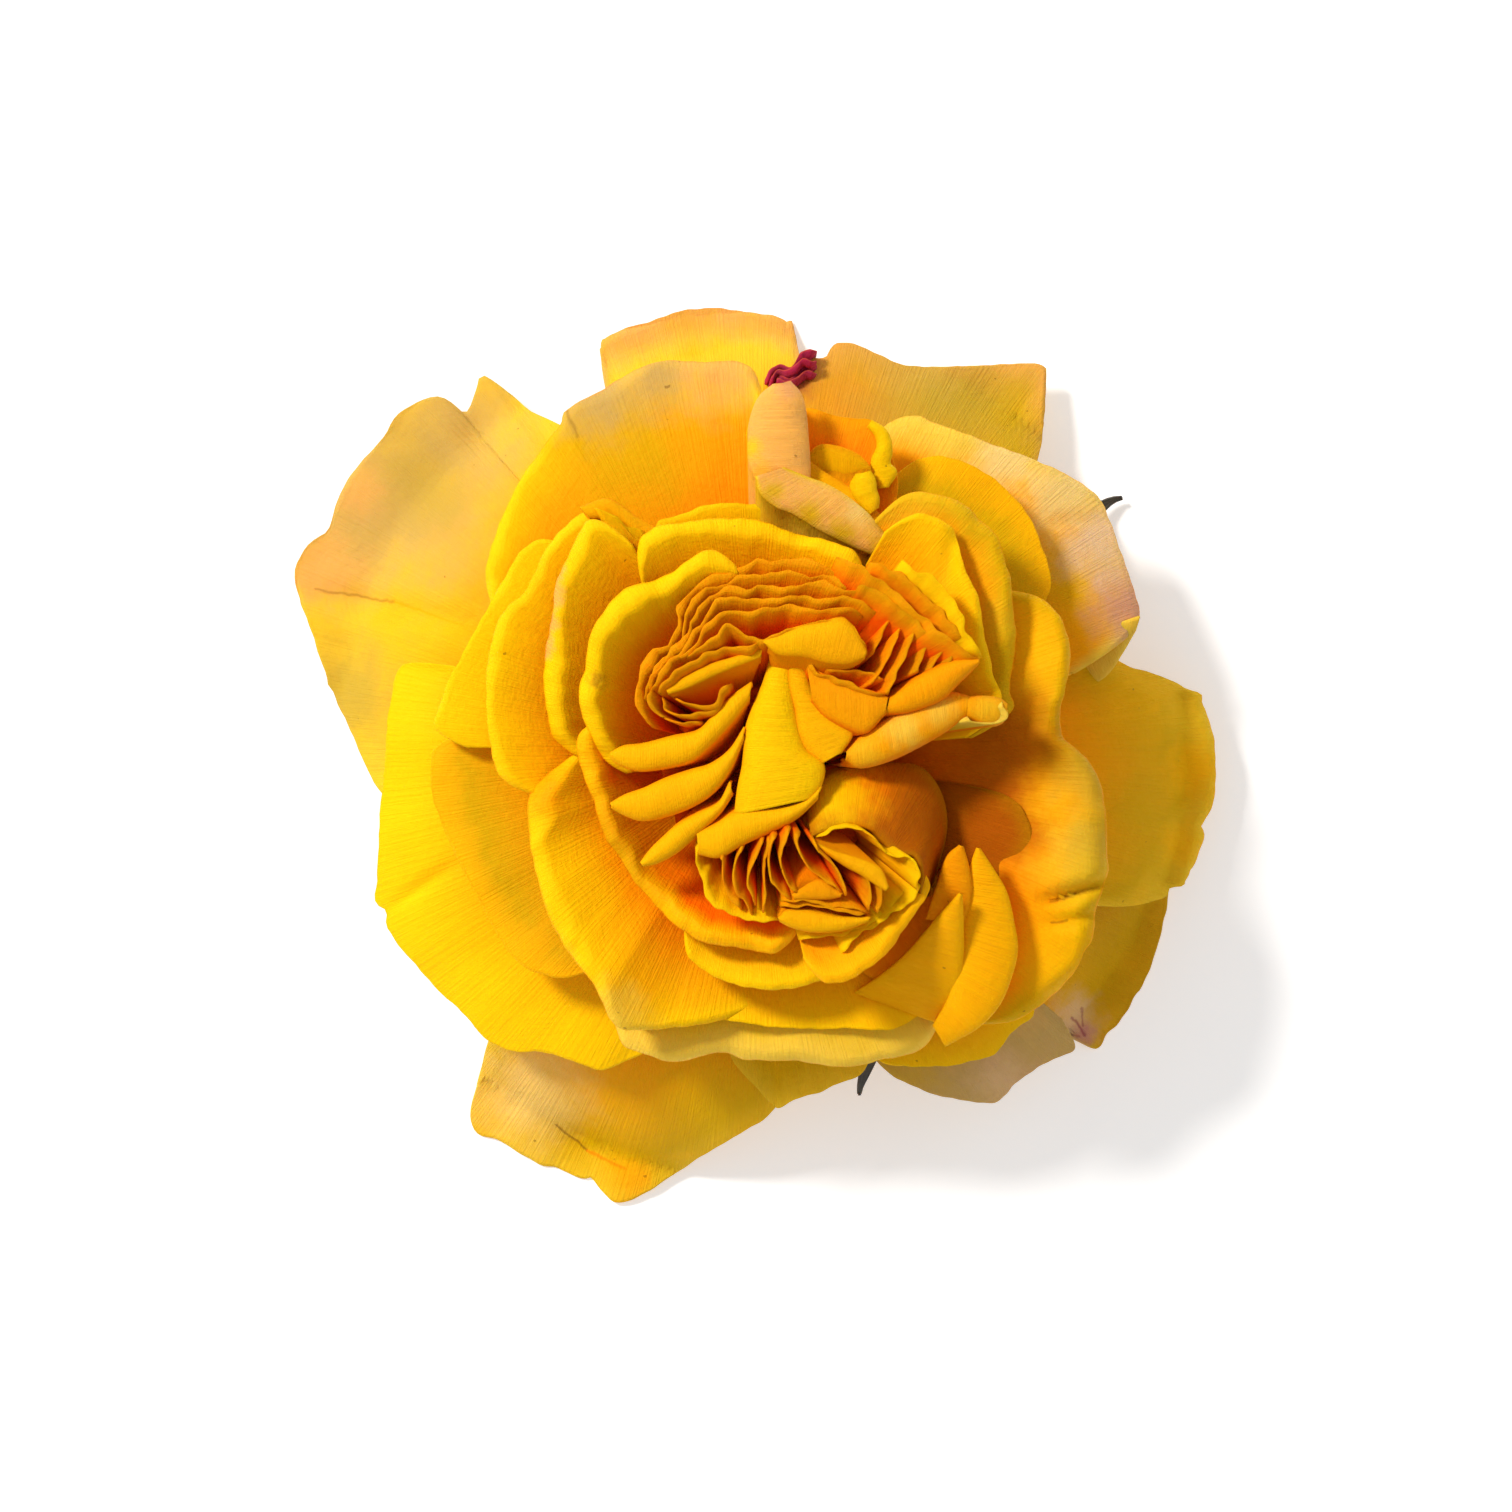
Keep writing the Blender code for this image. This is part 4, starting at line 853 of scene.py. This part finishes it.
# Smaller folds that belong to one petal: node -> [(maker, look, the maker's arguments after the name)]
EXTRAS = {
    "guard_top_right": [crumple_fold(k) for k in range(4)],
    "outer_top_fold": [
        (lobe_sheet, "gold", (34.6, 0.6, [(0.4, 36.6), (2.6, 33.2), (5.6, 31), (9.4, 29.2), (13.6, 27)],
            [(6, 37.4), (8, 35.8), (10.6, 34.2), (13.4, 32.4), (16, 29.4)])),
        (lobe_sheet, "peach", ((36.6, 35.4, 36.6, 35.4), 1.7, [(0.6, 33.4), (-0.7, 36.2), (-0.9, 39.4),
            (-0.7, 42.1), (0.4, 44.8), (2.2, 46.4)],
            [(6.6, 33.6), (6.7, 36.2), (6.5, 39.6), (6.2, 42.9), (5.6, 45.2), (4.2, 46.8)])),
        (lobe_sheet, "olive_roll", ((37.8, 37, 37.8, 37), 1.4, [(0, 35), (0.6, 32.8), (2.4, 31.2),
            (4.6, 30.3), (7.7, 28.4), (11.9, 26.3), (15.8, 24.8), (19, 24.1)],
            [(3.4, 36), (6.4, 34.8), (8.6, 34), (10.6, 32.9), (12.4, 31.6), (14.2, 30), (16.2, 27.6),
            (19.4, 24.5)])),
    ],
    "outer_top_small": [
        (lobe_sheet, "gold", ((33.6, 33.4, 32.4, 32), 0.5, [(6.3, 37.2), (7.5, 38.6), (8.9, 38.9),
            (11.2, 38.4), (13.1, 37.4), (14.4, 35.9)],
            [(6.6, 34), (8.6, 33.6), (10.8, 33.2), (12.8, 33), (14.4, 33.4)])),
        (lobe_sheet, "lemon", ((34.2, 35.4, 34.2, 35.2), 0.9, [(12.6, 35.2), (11.9, 34), (12, 32.8),
            (12.9, 31.6), (14.2, 30.2)],
            [(14.2, 35.6), (14.8, 34.6), (15, 33.2), (15.3, 32.2), (15.2, 31)], 2)),
        (lobe_sheet, "lemon", ((32.2, 32.8, 32, 32.6), 0.8, [(14.4, 41.9), (16, 40.9), (16.8, 39.4),
            (16.9, 37.8), (16.7, 36.6), (17.5, 35.4), (16.4, 33.6)],
            [(14, 41.2), (15, 40), (15.2, 38.6), (14.6, 37.2), (14.5, 35.8), (14.9, 34.6), (15.4, 33.4)],
            2)),
    ],
    "guard_upper_right": [
        (lobe_sheet, "cream", ((20.2, 19.4, 19, 18), 0.5, [(48, 17.4), (45, 16.4), (42.2, 15.2),
            (39.2, 13.6)],
            [(47.4, 15.8), (45.8, 13), (44, 10.4), (41.6, 8.6)], 2, (0.88, 0.95))),
    ],
    "outer_lip_right": [
        (lobe_sheet, "bright", ((38.6, 32.5, 38.6, 31.5), 1, [(27.7, -11.5), (26.6, -14.5), (26, -18),
            (25.4, -21.8), (24.8, -26), (24.2, -30), (22.2, -33.8)],
            [(27.9, -11.6), (29.8, -14.5), (31.3, -17.2), (32.2, -21.1), (32.6, -24.2), (31.9, -27.4),
            (30.4, -31), (27.8, -33.8), (23.6, -36.2)], 5, (0.8, 0.72))),
    ],
    "middle_lower_right": [
        (lobe_sheet, "gold", ((39.4, 36.6, 39.4, 37), 0.8, [(25.5, -11.2), (23.9, -12.8), (22.8, -16),
            (21.4, -20.4)],
            [(25.8, -11.3), (26.6, -14.3), (26.8, -17.3), (25.8, -21)], 4, (0.8, 0.72))),
        (lobe_sheet, "bright", ((40.6, 31.4, 40.6, 30.8), 0.9, [(25.5, -17.2), (22.7, -20.3), (19.3, -24.3),
            (16, -27.2), (12.4, -29.6)],
            [(25.7, -17.3), (25.8, -21), (25.8, -25), (25.2, -29.3), (22.8, -33.4)], 4, (0.8, 0.72))),
    ],
    "middle_top_a": [
        (lobe_sheet, "gold", (36.5, 0.8, [(-22, 31), (-18.9, 32.1), (-16.9, 31.3), (-14.9, 29.8),
            (-12.6, 28.6)],
            [(-20.8, 29.8), (-18.2, 29.6), (-16.2, 28.2), (-14.6, 26.6), (-13, 26)])),
        (fold_sheet, "bright", (38, [(-20.4, 31.2), (-18, 30.4), (-16.4, 29), (-14, 28.2)], 0.5)),
        (fold_sheet, "gold", (38, [(-17.2, 29.4), (-15.4, 27.6), (-13.2, 27.2)], 0.4)),
    ],
}


for name, petals in PETALS.items():
    petals = petals if isinstance(petals, list) else [petals]
    sheets = [(petal_sheet(f"{name}_{k}", petal), look(petal.look, petal.spots, petal.strokes), look("back"))
              for k, petal in enumerate(petals)]
    sheets += [(maker(f"{name}_x{k}", *values), fold_look(kind), fold_look(kind))
               for k, (maker, kind, values) in enumerate(EXTRAS.get(name, ()))]
    piece = joined("petal_" + name, sheets)
    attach(piece, "root")
    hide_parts(name)


# --- Hearts ------------------------------------------------------------------------------------------------

# The outline of each heart's core
UPPER_OUTLINE = [
    (11, -1.2), (15.4, -0.4), (20, 1.7), (26, 4.8), (30.4, 7), (28.4, 12), (27, 15.8), (24.6, 20.2),
    (20.4, 22.8), (14, 24.4), (8, 24.8), (2, 25.1), (-4, 23.6), (-8.4, 21), (-9.8, 17.4), (-12.9, 14),
    (-14.8, 10.4), (-15.4, 6.4), (-12.6, 4.4), (-8.6, 4.2), (-4, 5.9), (0, 7.2), (4, 6.6), (7.6, 4),
    (9.4, 0.6)]
LOWER_OUTLINE = [
    (9.8, -3.6), (6.2, -8.2), (2, -10.4), (-3.2, -10.9), (-7.4, -11.6), (-7.8, -16), (-5.6, -20),
    (-2, -21.6), (3, -22.6), (7, -22.4), (10.4, -24.4), (12.2, -26), (15.4, -23.8), (18.4, -19.8),
    (21.4, -14.8), (22.8, -9), (22.8, -4.6), (21.2, -2.2), (15.4, -2)]
FINGER_OUTLINE = [
    (8, -2.8), (6.6, 2.8), (3.8, 5.2), (-1, 5.8), (-5, 3.8), (-9, 2.9), (-13, 1.8), (-17.4, 1.2),
    (-18.6, -0.6), (-17.4, -3.6), (-18.4, -6.2), (-15.4, -8.8), (-15.2, -13), (-12.4, -13.8), (-7.6, -10.6),
    (-2, -9.6), (4.6, -7.6)]

# Folds: (look, height of the rim, radius of its roll, rim seen from above)
UPPER_FOLDS = [
    ("fold", 43.6, 1.3, [(-13, 3.6), (-15.2, 6.7), (-15.3, 8.6), (-14.3, 10.6), (-13.5, 12.3),
     (-12.6, 13.6), (-11, 14.8), (-9.6, 16.7), (-9.9, 18.6), (-9.3, 20), (-7.8, 21.3), (-6, 22.5),
     (-4.4, 23), (-2.4, 23.6), (0.1, 24.6), (3.2, 25.1), (5.5, 24.6), (7.4, 24.5), (9.5, 24), (11.5, 23),
     (14.8, 21.5)]),
    ("fold", 44.2, 0.7, [(-14.2, 6.4), (-13.4, 9.4), (-11.4, 12.4), (-9.4, 14.6), (-9, 17.2), (-8, 19.6),
     (-5.6, 21.2), (-2.6, 22.4), (0.6, 22.8), (3.6, 23.2), (7.4, 22.8), (10.6, 22), (13.6, 20.6)]),
    ("fold", 44.6, 0.9, [(-14, 7.4), (-12.8, 10.6), (-10.4, 13.4), (-8.6, 15.2), (-8, 17.4), (-6.2, 19.9),
     (-3.3, 21.2), (-1.4, 20.9), (0.9, 21.5), (4.5, 21.4), (8, 21.8), (12, 20.9), (15, 19.3)]),
    ("fold", 45, 0.85, [(-13.4, 8), (-11.6, 11), (-8.9, 13.8), (-7.2, 16.6), (-5.3, 19), (-4.3, 19.8),
     (-2.4, 20), (0.1, 20), (1.3, 19.5), (2.4, 19.6), (4.3, 20.2), (5.5, 20.2), (8.8, 19.8), (11.1, 20),
     (13, 19.6), (15.5, 17.8)]),
    ("fold", 45.8, 0.6, [(-12.4, 8), (-10.4, 10.4), (-7.6, 12.2), (-4.4, 13.4), (-1.4, 13.8), (1, 14)]),
    ("fold", 45.4, 0.8, [(-10.6, 12), (-8, 13.6), (-6.8, 15.6), (-5.1, 17.5), (-3.3, 18.1), (-1.4, 18.2),
     (0.9, 18.6), (4.4, 18.8), (7.8, 18.4), (10.6, 18.8), (13.4, 17.6)]),
    ("fold", 46.4, 0.5, [(-9.3, 12.3), (-5.3, 14.8), (-4.5, 15.6), (-3.5, 16.6), (-2.4, 16.1), (-1, 15.2),
     (0.6, 14.4), (2.4, 15.2), (4.3, 16), (6.8, 16.6), (8.8, 17), (10.6, 17.4), (12, 16.4), (13.4, 14.4),
     (14, 12.8)]),
    ("fold", 44.4, 0.7, [(-13.2, 8.6), (-13.4, 6.7), (-12.2, 5.2), (-10, 4.3), (-6.7, 4.3)]),
    ("fold", 44.8, 0.6, [(-11.9, 7.4), (-11.4, 5.8), (-8.7, 5.1), (-5.7, 5.8), (-4.1, 6.8)]),
    ("fold", 45.2, 0.6, [(-10.4, 7.4), (-8, 6.4), (-5.4, 6.4), (-4.4, 8.1), (-3.1, 9.1)]),
    ("fold", 45.8, 0.85, [(10.2, 25), (12.2, 24.4), (14.5, 23.2), (17.5, 20.6), (20.3, 18.2), (22.5, 16.5),
     (24.6, 14.6), (27.9, 12)]),
    ("fold", 45.4, 0.6, [(12.4, 21.8), (15.4, 20.8), (18.4, 18.6), (21.2, 16.2), (24, 13.6)]),
    ("fold", 45, 0.8, [(14.4, 24.4), (18.4, 22.8), (21.3, 20.4), (24.3, 17.2), (26.6, 14)]),
    ("bright", 45.2, 0.8, [(18.4, 24.6), (22.5, 22.3), (25, 19.6), (26.6, 16.2), (28.2, 12.4)]),
    ("fold", 45.2, 0.5, [(20.1, 16), (19.2, 13.6), (18, 10.9), (16.5, 7.6)]),
    ("heart", 45, 0.5, [(18.4, 16.4), (17.2, 13.6), (15.6, 10.4), (14.4, 9)]),
    ("fold", 44.9, 0.5, [(22.2, 15.3), (21.2, 13), (20.2, 10.4)]),
    ("fold", 44.7, 0.4, [(23.9, 14), (23.2, 12.8), (22, 10.9)]),
    ("fold", 44.6, 0.4, [(25.2, 13.2), (24.4, 11.8), (23.6, 11)]),
    ("heart", 44.6, 0.4, [(16.8, 17.2), (15.6, 14.6), (14.4, 12.6)]),
    ("fold", 45.4, 0.5, [(6.2, 11.9), (8.4, 10.4), (12.1, 8.9), (16.3, 7.6)]),
    ("heart", 44.9, 0.4, [(7.4, 11.4), (10.4, 10.9), (13.6, 10.6), (16.4, 9.6)]),
    ("cream", 43.6, 0.6, [(26.2, 5), (27.2, 4.4), (30.4, 4.2), (31.6, 5.4), (31, 7)]),
]
LOWER_FOLDS = [
    ("bright", 43.6, 1.1, [(-7.5, -10.6), (-7.5, -13), (-6.9, -15.8), (-5.6, -18.2), (-3.4, -20),
     (-0.3, -20.8), (3.5, -20.6)]),
    ("fold", 44.6, 0.6, [(-4.4, -12.2), (-4.2, -15), (-3.4, -17.4), (-1.8, -19.2)]),
    ("fold", 45, 0.6, [(-1.5, -11.2), (-2.6, -13.5), (-2.8, -16), (-1.6, -18.3), (-0.4, -20)]),
    ("fold", 45.4, 0.5, [(1, -10.4), (0.2, -12.5), (-0.8, -14.5), (-1, -16.5), (0, -18.7)]),
    ("fold", 45.6, 0.4, [(1.8, -10.2), (1.2, -13), (1, -15.5), (1.2, -17.5), (0.9, -19.5)]),
    ("fold", 46, 0.5, [(2.6, -9.8), (1.7, -12.5), (1.9, -15.4), (3.2, -17.4), (4.6, -18.2)]),
    ("fold", 46.2, 0.5, [(4.4, -9.2), (3.4, -11.4), (3.2, -13.8), (4.1, -16.2), (5.5, -17.3)]),
    ("fold", 46.4, 0.5, [(5.4, -9.4), (5.3, -11.5), (6.6, -14), (8.6, -15.6), (10.9, -17.2)]),
    ("fold", 46.6, 0.4, [(7.2, -10.4), (7.9, -12), (9.9, -13.9), (11, -16), (11.2, -17.4)]),
    ("fold", 45.8, 0.5, [(13.6, -14.8), (14.6, -17), (14.2, -19.4)]),
    ("fold", 45.6, 0.4, [(15.6, -16.2), (16, -18), (15.2, -19.6)]),
    ("fold", 45.2, 0.4, [(3.2, -18.4), (5.2, -18.1), (9.2, -18.8), (14.2, -19.6)]),
    ("fold", 45, 0.4, [(3, -19), (6.2, -18.8), (10.2, -19.4), (14.2, -20)]),
    ("bright", 42.8, 0.9, [(5.4, -23), (9, -22.8), (13, -22), (16.4, -19.8), (18.9, -17)]),
    ("bright", 45, 0.3, [(7, -10.4), (9, -9.6), (11.2, -8.9), (14.2, -9.8), (16.8, -12.4), (19.4, -12.8),
     (20.5, -14.8), (20.3, -16.8)]),
    ("bright", 43, 0.3, [(20.4, -15.6), (20.2, -17.2), (18.8, -18.8), (16.6, -20.3), (14.2, -21.6),
     (12.2, -23.2), (10.6, -25)]),
]

# Lobes: (look, height of the edges, rise of the back, one edge, the other edge)
UPPER_LOBES = [
    ("gold", 46.2, 1, [(0.8, 14.3), (4.9, 16), (8.6, 16.8), (10.8, 17.2), (12.4, 15.7), (13.8, 13)],
     [(1.6, 13.7), (2.9, 12.7), (6.2, 12.4), (8.9, 11.7), (11.6, 11.6), (13.6, 12.3)]),
    ("gold", 45, 0.5, [(-11.2, 8.2), (-8.8, 9.8), (-5.6, 11.4), (-3, 12.2), (0.8, 13.4)],
     [(-11, 7.8), (-9, 8.4), (-6.7, 9.4), (-3.6, 10.8), (0.6, 12.4)]),
    ("gold", (43.4, 44.2, 43.4, 44.2), 0.7, [(4.2, 12), (4.2, 8.8), (4.9, 6), (5.2, 3), (6.2, 0.8),
     (8.4, -0.9)],
     [(5.8, 11.4), (6.9, 8.3), (8.2, 6.2), (9.9, 4.6), (12, 2.9), (10.6, 0.4)]),
    ("amber", 44.6, 0.9, [(6.4, 11.4), (8.4, 10.2), (12.1, 8.7), (14.6, 8), (16.5, 7.2)],
     [(7, 7), (8.8, 5), (11.6, 3.4), (13.8, 3), (16.2, 5.4)]),
    ("amber", 44.2, 1.5, [(16.2, 5.4), (19.2, 5.6), (23, 7), (25.2, 9), (27.8, 11.6)],
     [(16.8, 7.2), (20.4, 10), (23.6, 11.6), (25.8, 12.1), (27.9, 12)]),
    ("lip", (43.4, 42.6, 43.4, 42.2), 1.8, [(11.2, -0.4), (13, -1.4), (16.5, -0.6), (20, 1), (23.5, 3),
     (26.4, 5.2)],
     [(11.4, 0.6), (13.6, 2.8), (16.8, 4.8), (20.8, 6.8), (24.1, 7.9), (26.6, 7.4)]),
    ("lip", 42.4, 1.4, [(25.8, 5.2), (28.6, 3.9), (30.6, 4.1), (31.4, 5.6)],
     [(26, 7.2), (28.2, 7.4), (30.2, 7.2), (31.4, 6.4)]),
]
LOWER_LOBES = [
    # Painted shade and light: the hood is coloured dark for its shade, with lighter spots painted on its
    # upper left
    ("hood", (44.6, 42.2, 41, 31), 1.7, [(7, -10), (9, -9.2), (11.6, -8.5), (14.6, -9.4), (17.1, -12.1),
     (19.8, -12.5), (20.7, -14.8), (20.5, -17.2)],
     [(6.4, -7.4), (8, -3.4), (11.2, -1.6), (16, -1), (20.4, -1.4), (23, -4.4), (23.8, -8.6), (22.9, -13),
     (21.4, -17.6)]),
    ("gold", 45.6, 0.6, [(7.6, -11), (10, -12), (13, -12.9), (15.5, -14.1), (16.5, -16.4)],
     [(7.9, -11.4), (11, -13.6), (13.2, -14.8), (15, -16), (16.3, -16.8)]),
    ("gold", 44.2, 0.9, [(2.8, -20.3), (4.2, -19.2), (7.5, -19.5), (10.5, -20.1), (14.3, -20.2)],
     [(3, -20.6), (4.6, -21.4), (7.5, -22), (11, -21.7), (14, -20.6)]),
    ("amber", 45.4, 0.5, [(4.5, -17.4), (7, -15.8), (8.4, -15.6), (10.8, -17.2)],
     [(4.8, -17.8), (7, -17.8), (9, -17.8), (10.6, -17.5)]),
]
FINGER_LOBES = [
    ("yellow", 43.8, 1.5, [(-18.2, 0.3), (-16.5, 1.2), (-14, 1.5), (-10.6, 2.4), (-7.2, 3.2), (-5.2, 5.2),
     (-3, 7.4), (-0.5, 9.2)],
     [(-18.2, 0), (-17.3, -0.9), (-14.6, -1.8), (-11, -1.4), (-8, -0.6), (-5.6, 1.4), (-3, 4.2),
     (-0.9, 7)]),
    ("yellow", 43.8, 1.5, [(-18.2, -6), (-16.3, -4.9), (-14, -4.1), (-11.2, -2.8), (-8.2, -1.8), (-5.6, -1),
     (-3.2, 0.8), (-1.4, 3.6)],
     [(-18, -6.4), (-16.7, -7.2), (-14.4, -8), (-11.6, -7.6), (-8, -6.3), (-5.2, -4.4), (-3.2, -1.6),
     (-1.7, 1.8)]),
    ("yellow", 43.8, 1.3, [(-14.4, -13.4), (-13.2, -11.8), (-11.7, -10.3), (-9.8, -8.6), (-7.3, -7.2),
     (-4.6, -5.8), (-3.2, -3.2)],
     [(-14.2, -13.7), (-12.5, -13.4), (-10.2, -12.2), (-8.2, -10.6), (-6.2, -8.8), (-4.4, -7), (-3, -4.8)]),
    ("bright", (44.6, 42.6, 44.6, 42.6), 1.8, [(-2.6, -7.4), (-2.2, -4), (-1.6, -1), (-1.3, 3), (-0.4, 6),
     (0.9, 9), (1.8, 12)],
     [(6.8, -5.4), (8.1, -3.6), (8.4, -1.1), (6.4, 0.6), (5.5, 3), (4.7, 7), (4.2, 11.6)]),
    ("yellow", 44.2, 1.5, [(-7.4, -9.6), (-4.8, -8.4), (-2, -6.8), (3.2, -6.4), (6.4, -5.4), (8.2, -3.7)],
     [(-7.2, -12.2), (-4.6, -12.6), (-1.6, -11), (2, -9.4), (5, -7.8), (7.6, -5.4)]),
]

for heart, outline, folds, lobes in (
        ("heart_upper", UPPER_OUTLINE, UPPER_FOLDS, UPPER_LOBES),
        ("heart_lower", LOWER_OUTLINE, LOWER_FOLDS, LOWER_LOBES),
        ("heart_fingers", FINGER_OUTLINE, [], FINGER_LOBES)):
    sheets = [(core_sheet(outline), look("heart"), look("heart"))]
    sheets += [(fold_sheet(f"{heart}_{k}", height, rim, curl), look(kind), look(kind))
               for k, (kind, height, curl, rim) in enumerate(folds)]
    sheets += [(lobe_sheet(f"{heart}_l{k}", heights, rise, edge, other), fold_look(kind), fold_look(kind))
               for k, (kind, heights, rise, edge, other) in enumerate(lobes)]
    piece = joined("folded_" + heart, sheets)
    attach(piece, "root")
    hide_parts(heart)


# --- Sepals, hip, stem -------------------------------------------------------------------------------------

SEPAL_WIDTH = 7.5
SEPAL_TIP = 0.08  # half the width of the very tip
SEPAL_THICK = 0.7
SEPAL_STATIONS, SEPAL_COLUMNS = 60, 17
# Layer angle, azimuth of the foot and of the tip, reach, and how far the very tip bends aside
SEPALS = {
    "sepal_1": (102.3, 25, 35.2, 56.0, 48),
    "sepal_2": (119, 92, 101, 36.0, 0),
    "sepal_3": (117, 164, 172, 38.0, 0),
    "sepal_4": (118, 236, 228, 37.0, 0),
    "sepal_5": (109, 308, 287, 44.2, -24),
}


def sepal_sheet(layer, base, tip, reach, hook):
    """A pointed sepal whose sides droop from a ridge along its middle."""
    u = np.linspace(0, 1, SEPAL_STATIONS)[:, None]
    v = np.linspace(-1, 1, SEPAL_COLUMNS)
    rib = RIB_START + (float(rib_to(reach, layer)) - RIB_START) * u
    half = SEPAL_WIDTH / 2 * (1 - u) ** 0.85 * (0.8 + u) + SEPAL_TIP
    theta = np.radians(base + (tip - base) * u**2 + hook * u**8 * (1 - u)) + v * half / rib
    droop = 0.5 * v**2 * half / 3.7
    ribs_raised = 0.05 * np.abs(np.sin(v * 3))
    tilt = math.radians(layer) * flare(rib) + (ribs_raised - droop) / rib
    grid = np.stack([rib * np.sin(tilt) * np.cos(theta), rib * np.sin(tilt) * np.sin(theta),
                     CUP_Z + rib * np.cos(tilt)], -1)[:, ::-1]
    return sheet_mesh(grid, u[:, 0], v / 2 + 0.5, SEPAL_THICK)


for name, values in SEPALS.items():
    piece = joined("fine_" + name, [(sepal_sheet(*values), SEPAL_GREEN, SEPAL_GREEN)])
    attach(piece, "root")
    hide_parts(name)

for name in ("stem", "hip", "receptacle"):
    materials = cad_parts[name].data.materials
    materials.clear()
    materials.append(STEM_GREEN)


# --- Floor, light, camera ----------------------------------------------------------------------------------

FLOOR_SIZE = 3.0  # metres from the middle to each side
FLOOR_SHADES = (0.86,) * 3, (0.9,) * 3
FLOOR_GLOW = 0.35  # keeps the floor near the photo's white
SKY_STRENGTH = 0.53
SUN_FROM = (-0.56, 0.46, 0.69)
SUN_STRENGTH = 3.1
SUN_SPREAD = 12
SUN_COLOUR = (1.0, 0.97, 0.92)
VIEW_WIDTH = 189.0  # what the frame spans at the height of the outlines' plane
SENSOR = 36.0

floor_mesh = bpy.data.meshes.new("floor")
floor_mesh.from_pydata([(x * FLOOR_SIZE, y * FLOOR_SIZE, 0) for x, y in ((-1, -1), (1, -1), (1, 1), (-1, 1))],
                       [], [(0, 1, 2, 3)])
floor = bpy.data.objects.new("floor", floor_mesh)
bpy.context.scene.collection.objects.link(floor)
paper = Graph("floor")
floor_mesh.materials.append(paper.finish(
    [], 0, Base_Color=paper.mix(paper.noise(paper.place, 40, 2, 0.5), *FLOOR_SHADES), Roughness=0.9,
    Emission_Color=(*WHITE, 1), Emission_Strength=FLOOR_GLOW))

world = bpy.data.worlds.new("studio")
world.use_nodes = True
sky = world.node_tree.nodes["Background"].inputs
sky["Color"].default_value = (*WHITE, 1)
sky["Strength"].default_value = SKY_STRENGTH
bpy.context.scene.world = world

key = bpy.data.lights.new("key", "SUN")
key.energy = SUN_STRENGTH
key.angle = math.radians(SUN_SPREAD)
key.color = SUN_COLOUR
key_object = bpy.data.objects.new("key", key)
key_object.rotation_euler = Vector(SUN_FROM).to_track_quat("Z", "Y").to_euler()
bpy.context.scene.collection.objects.link(key_object)

camera_data = bpy.data.cameras.new("camera")
camera_data.sensor_width = SENSOR
camera_data.lens = SENSOR * (EYE_Z - EYE_PLANE_Z) / VIEW_WIDTH
camera = bpy.data.objects.new("camera", camera_data)
camera.location = (0, 0, EYE_Z * MM)
bpy.context.scene.collection.objects.link(camera)
bpy.context.scene.camera = camera
bpy.context.scene.view_settings.view_transform = "Standard"
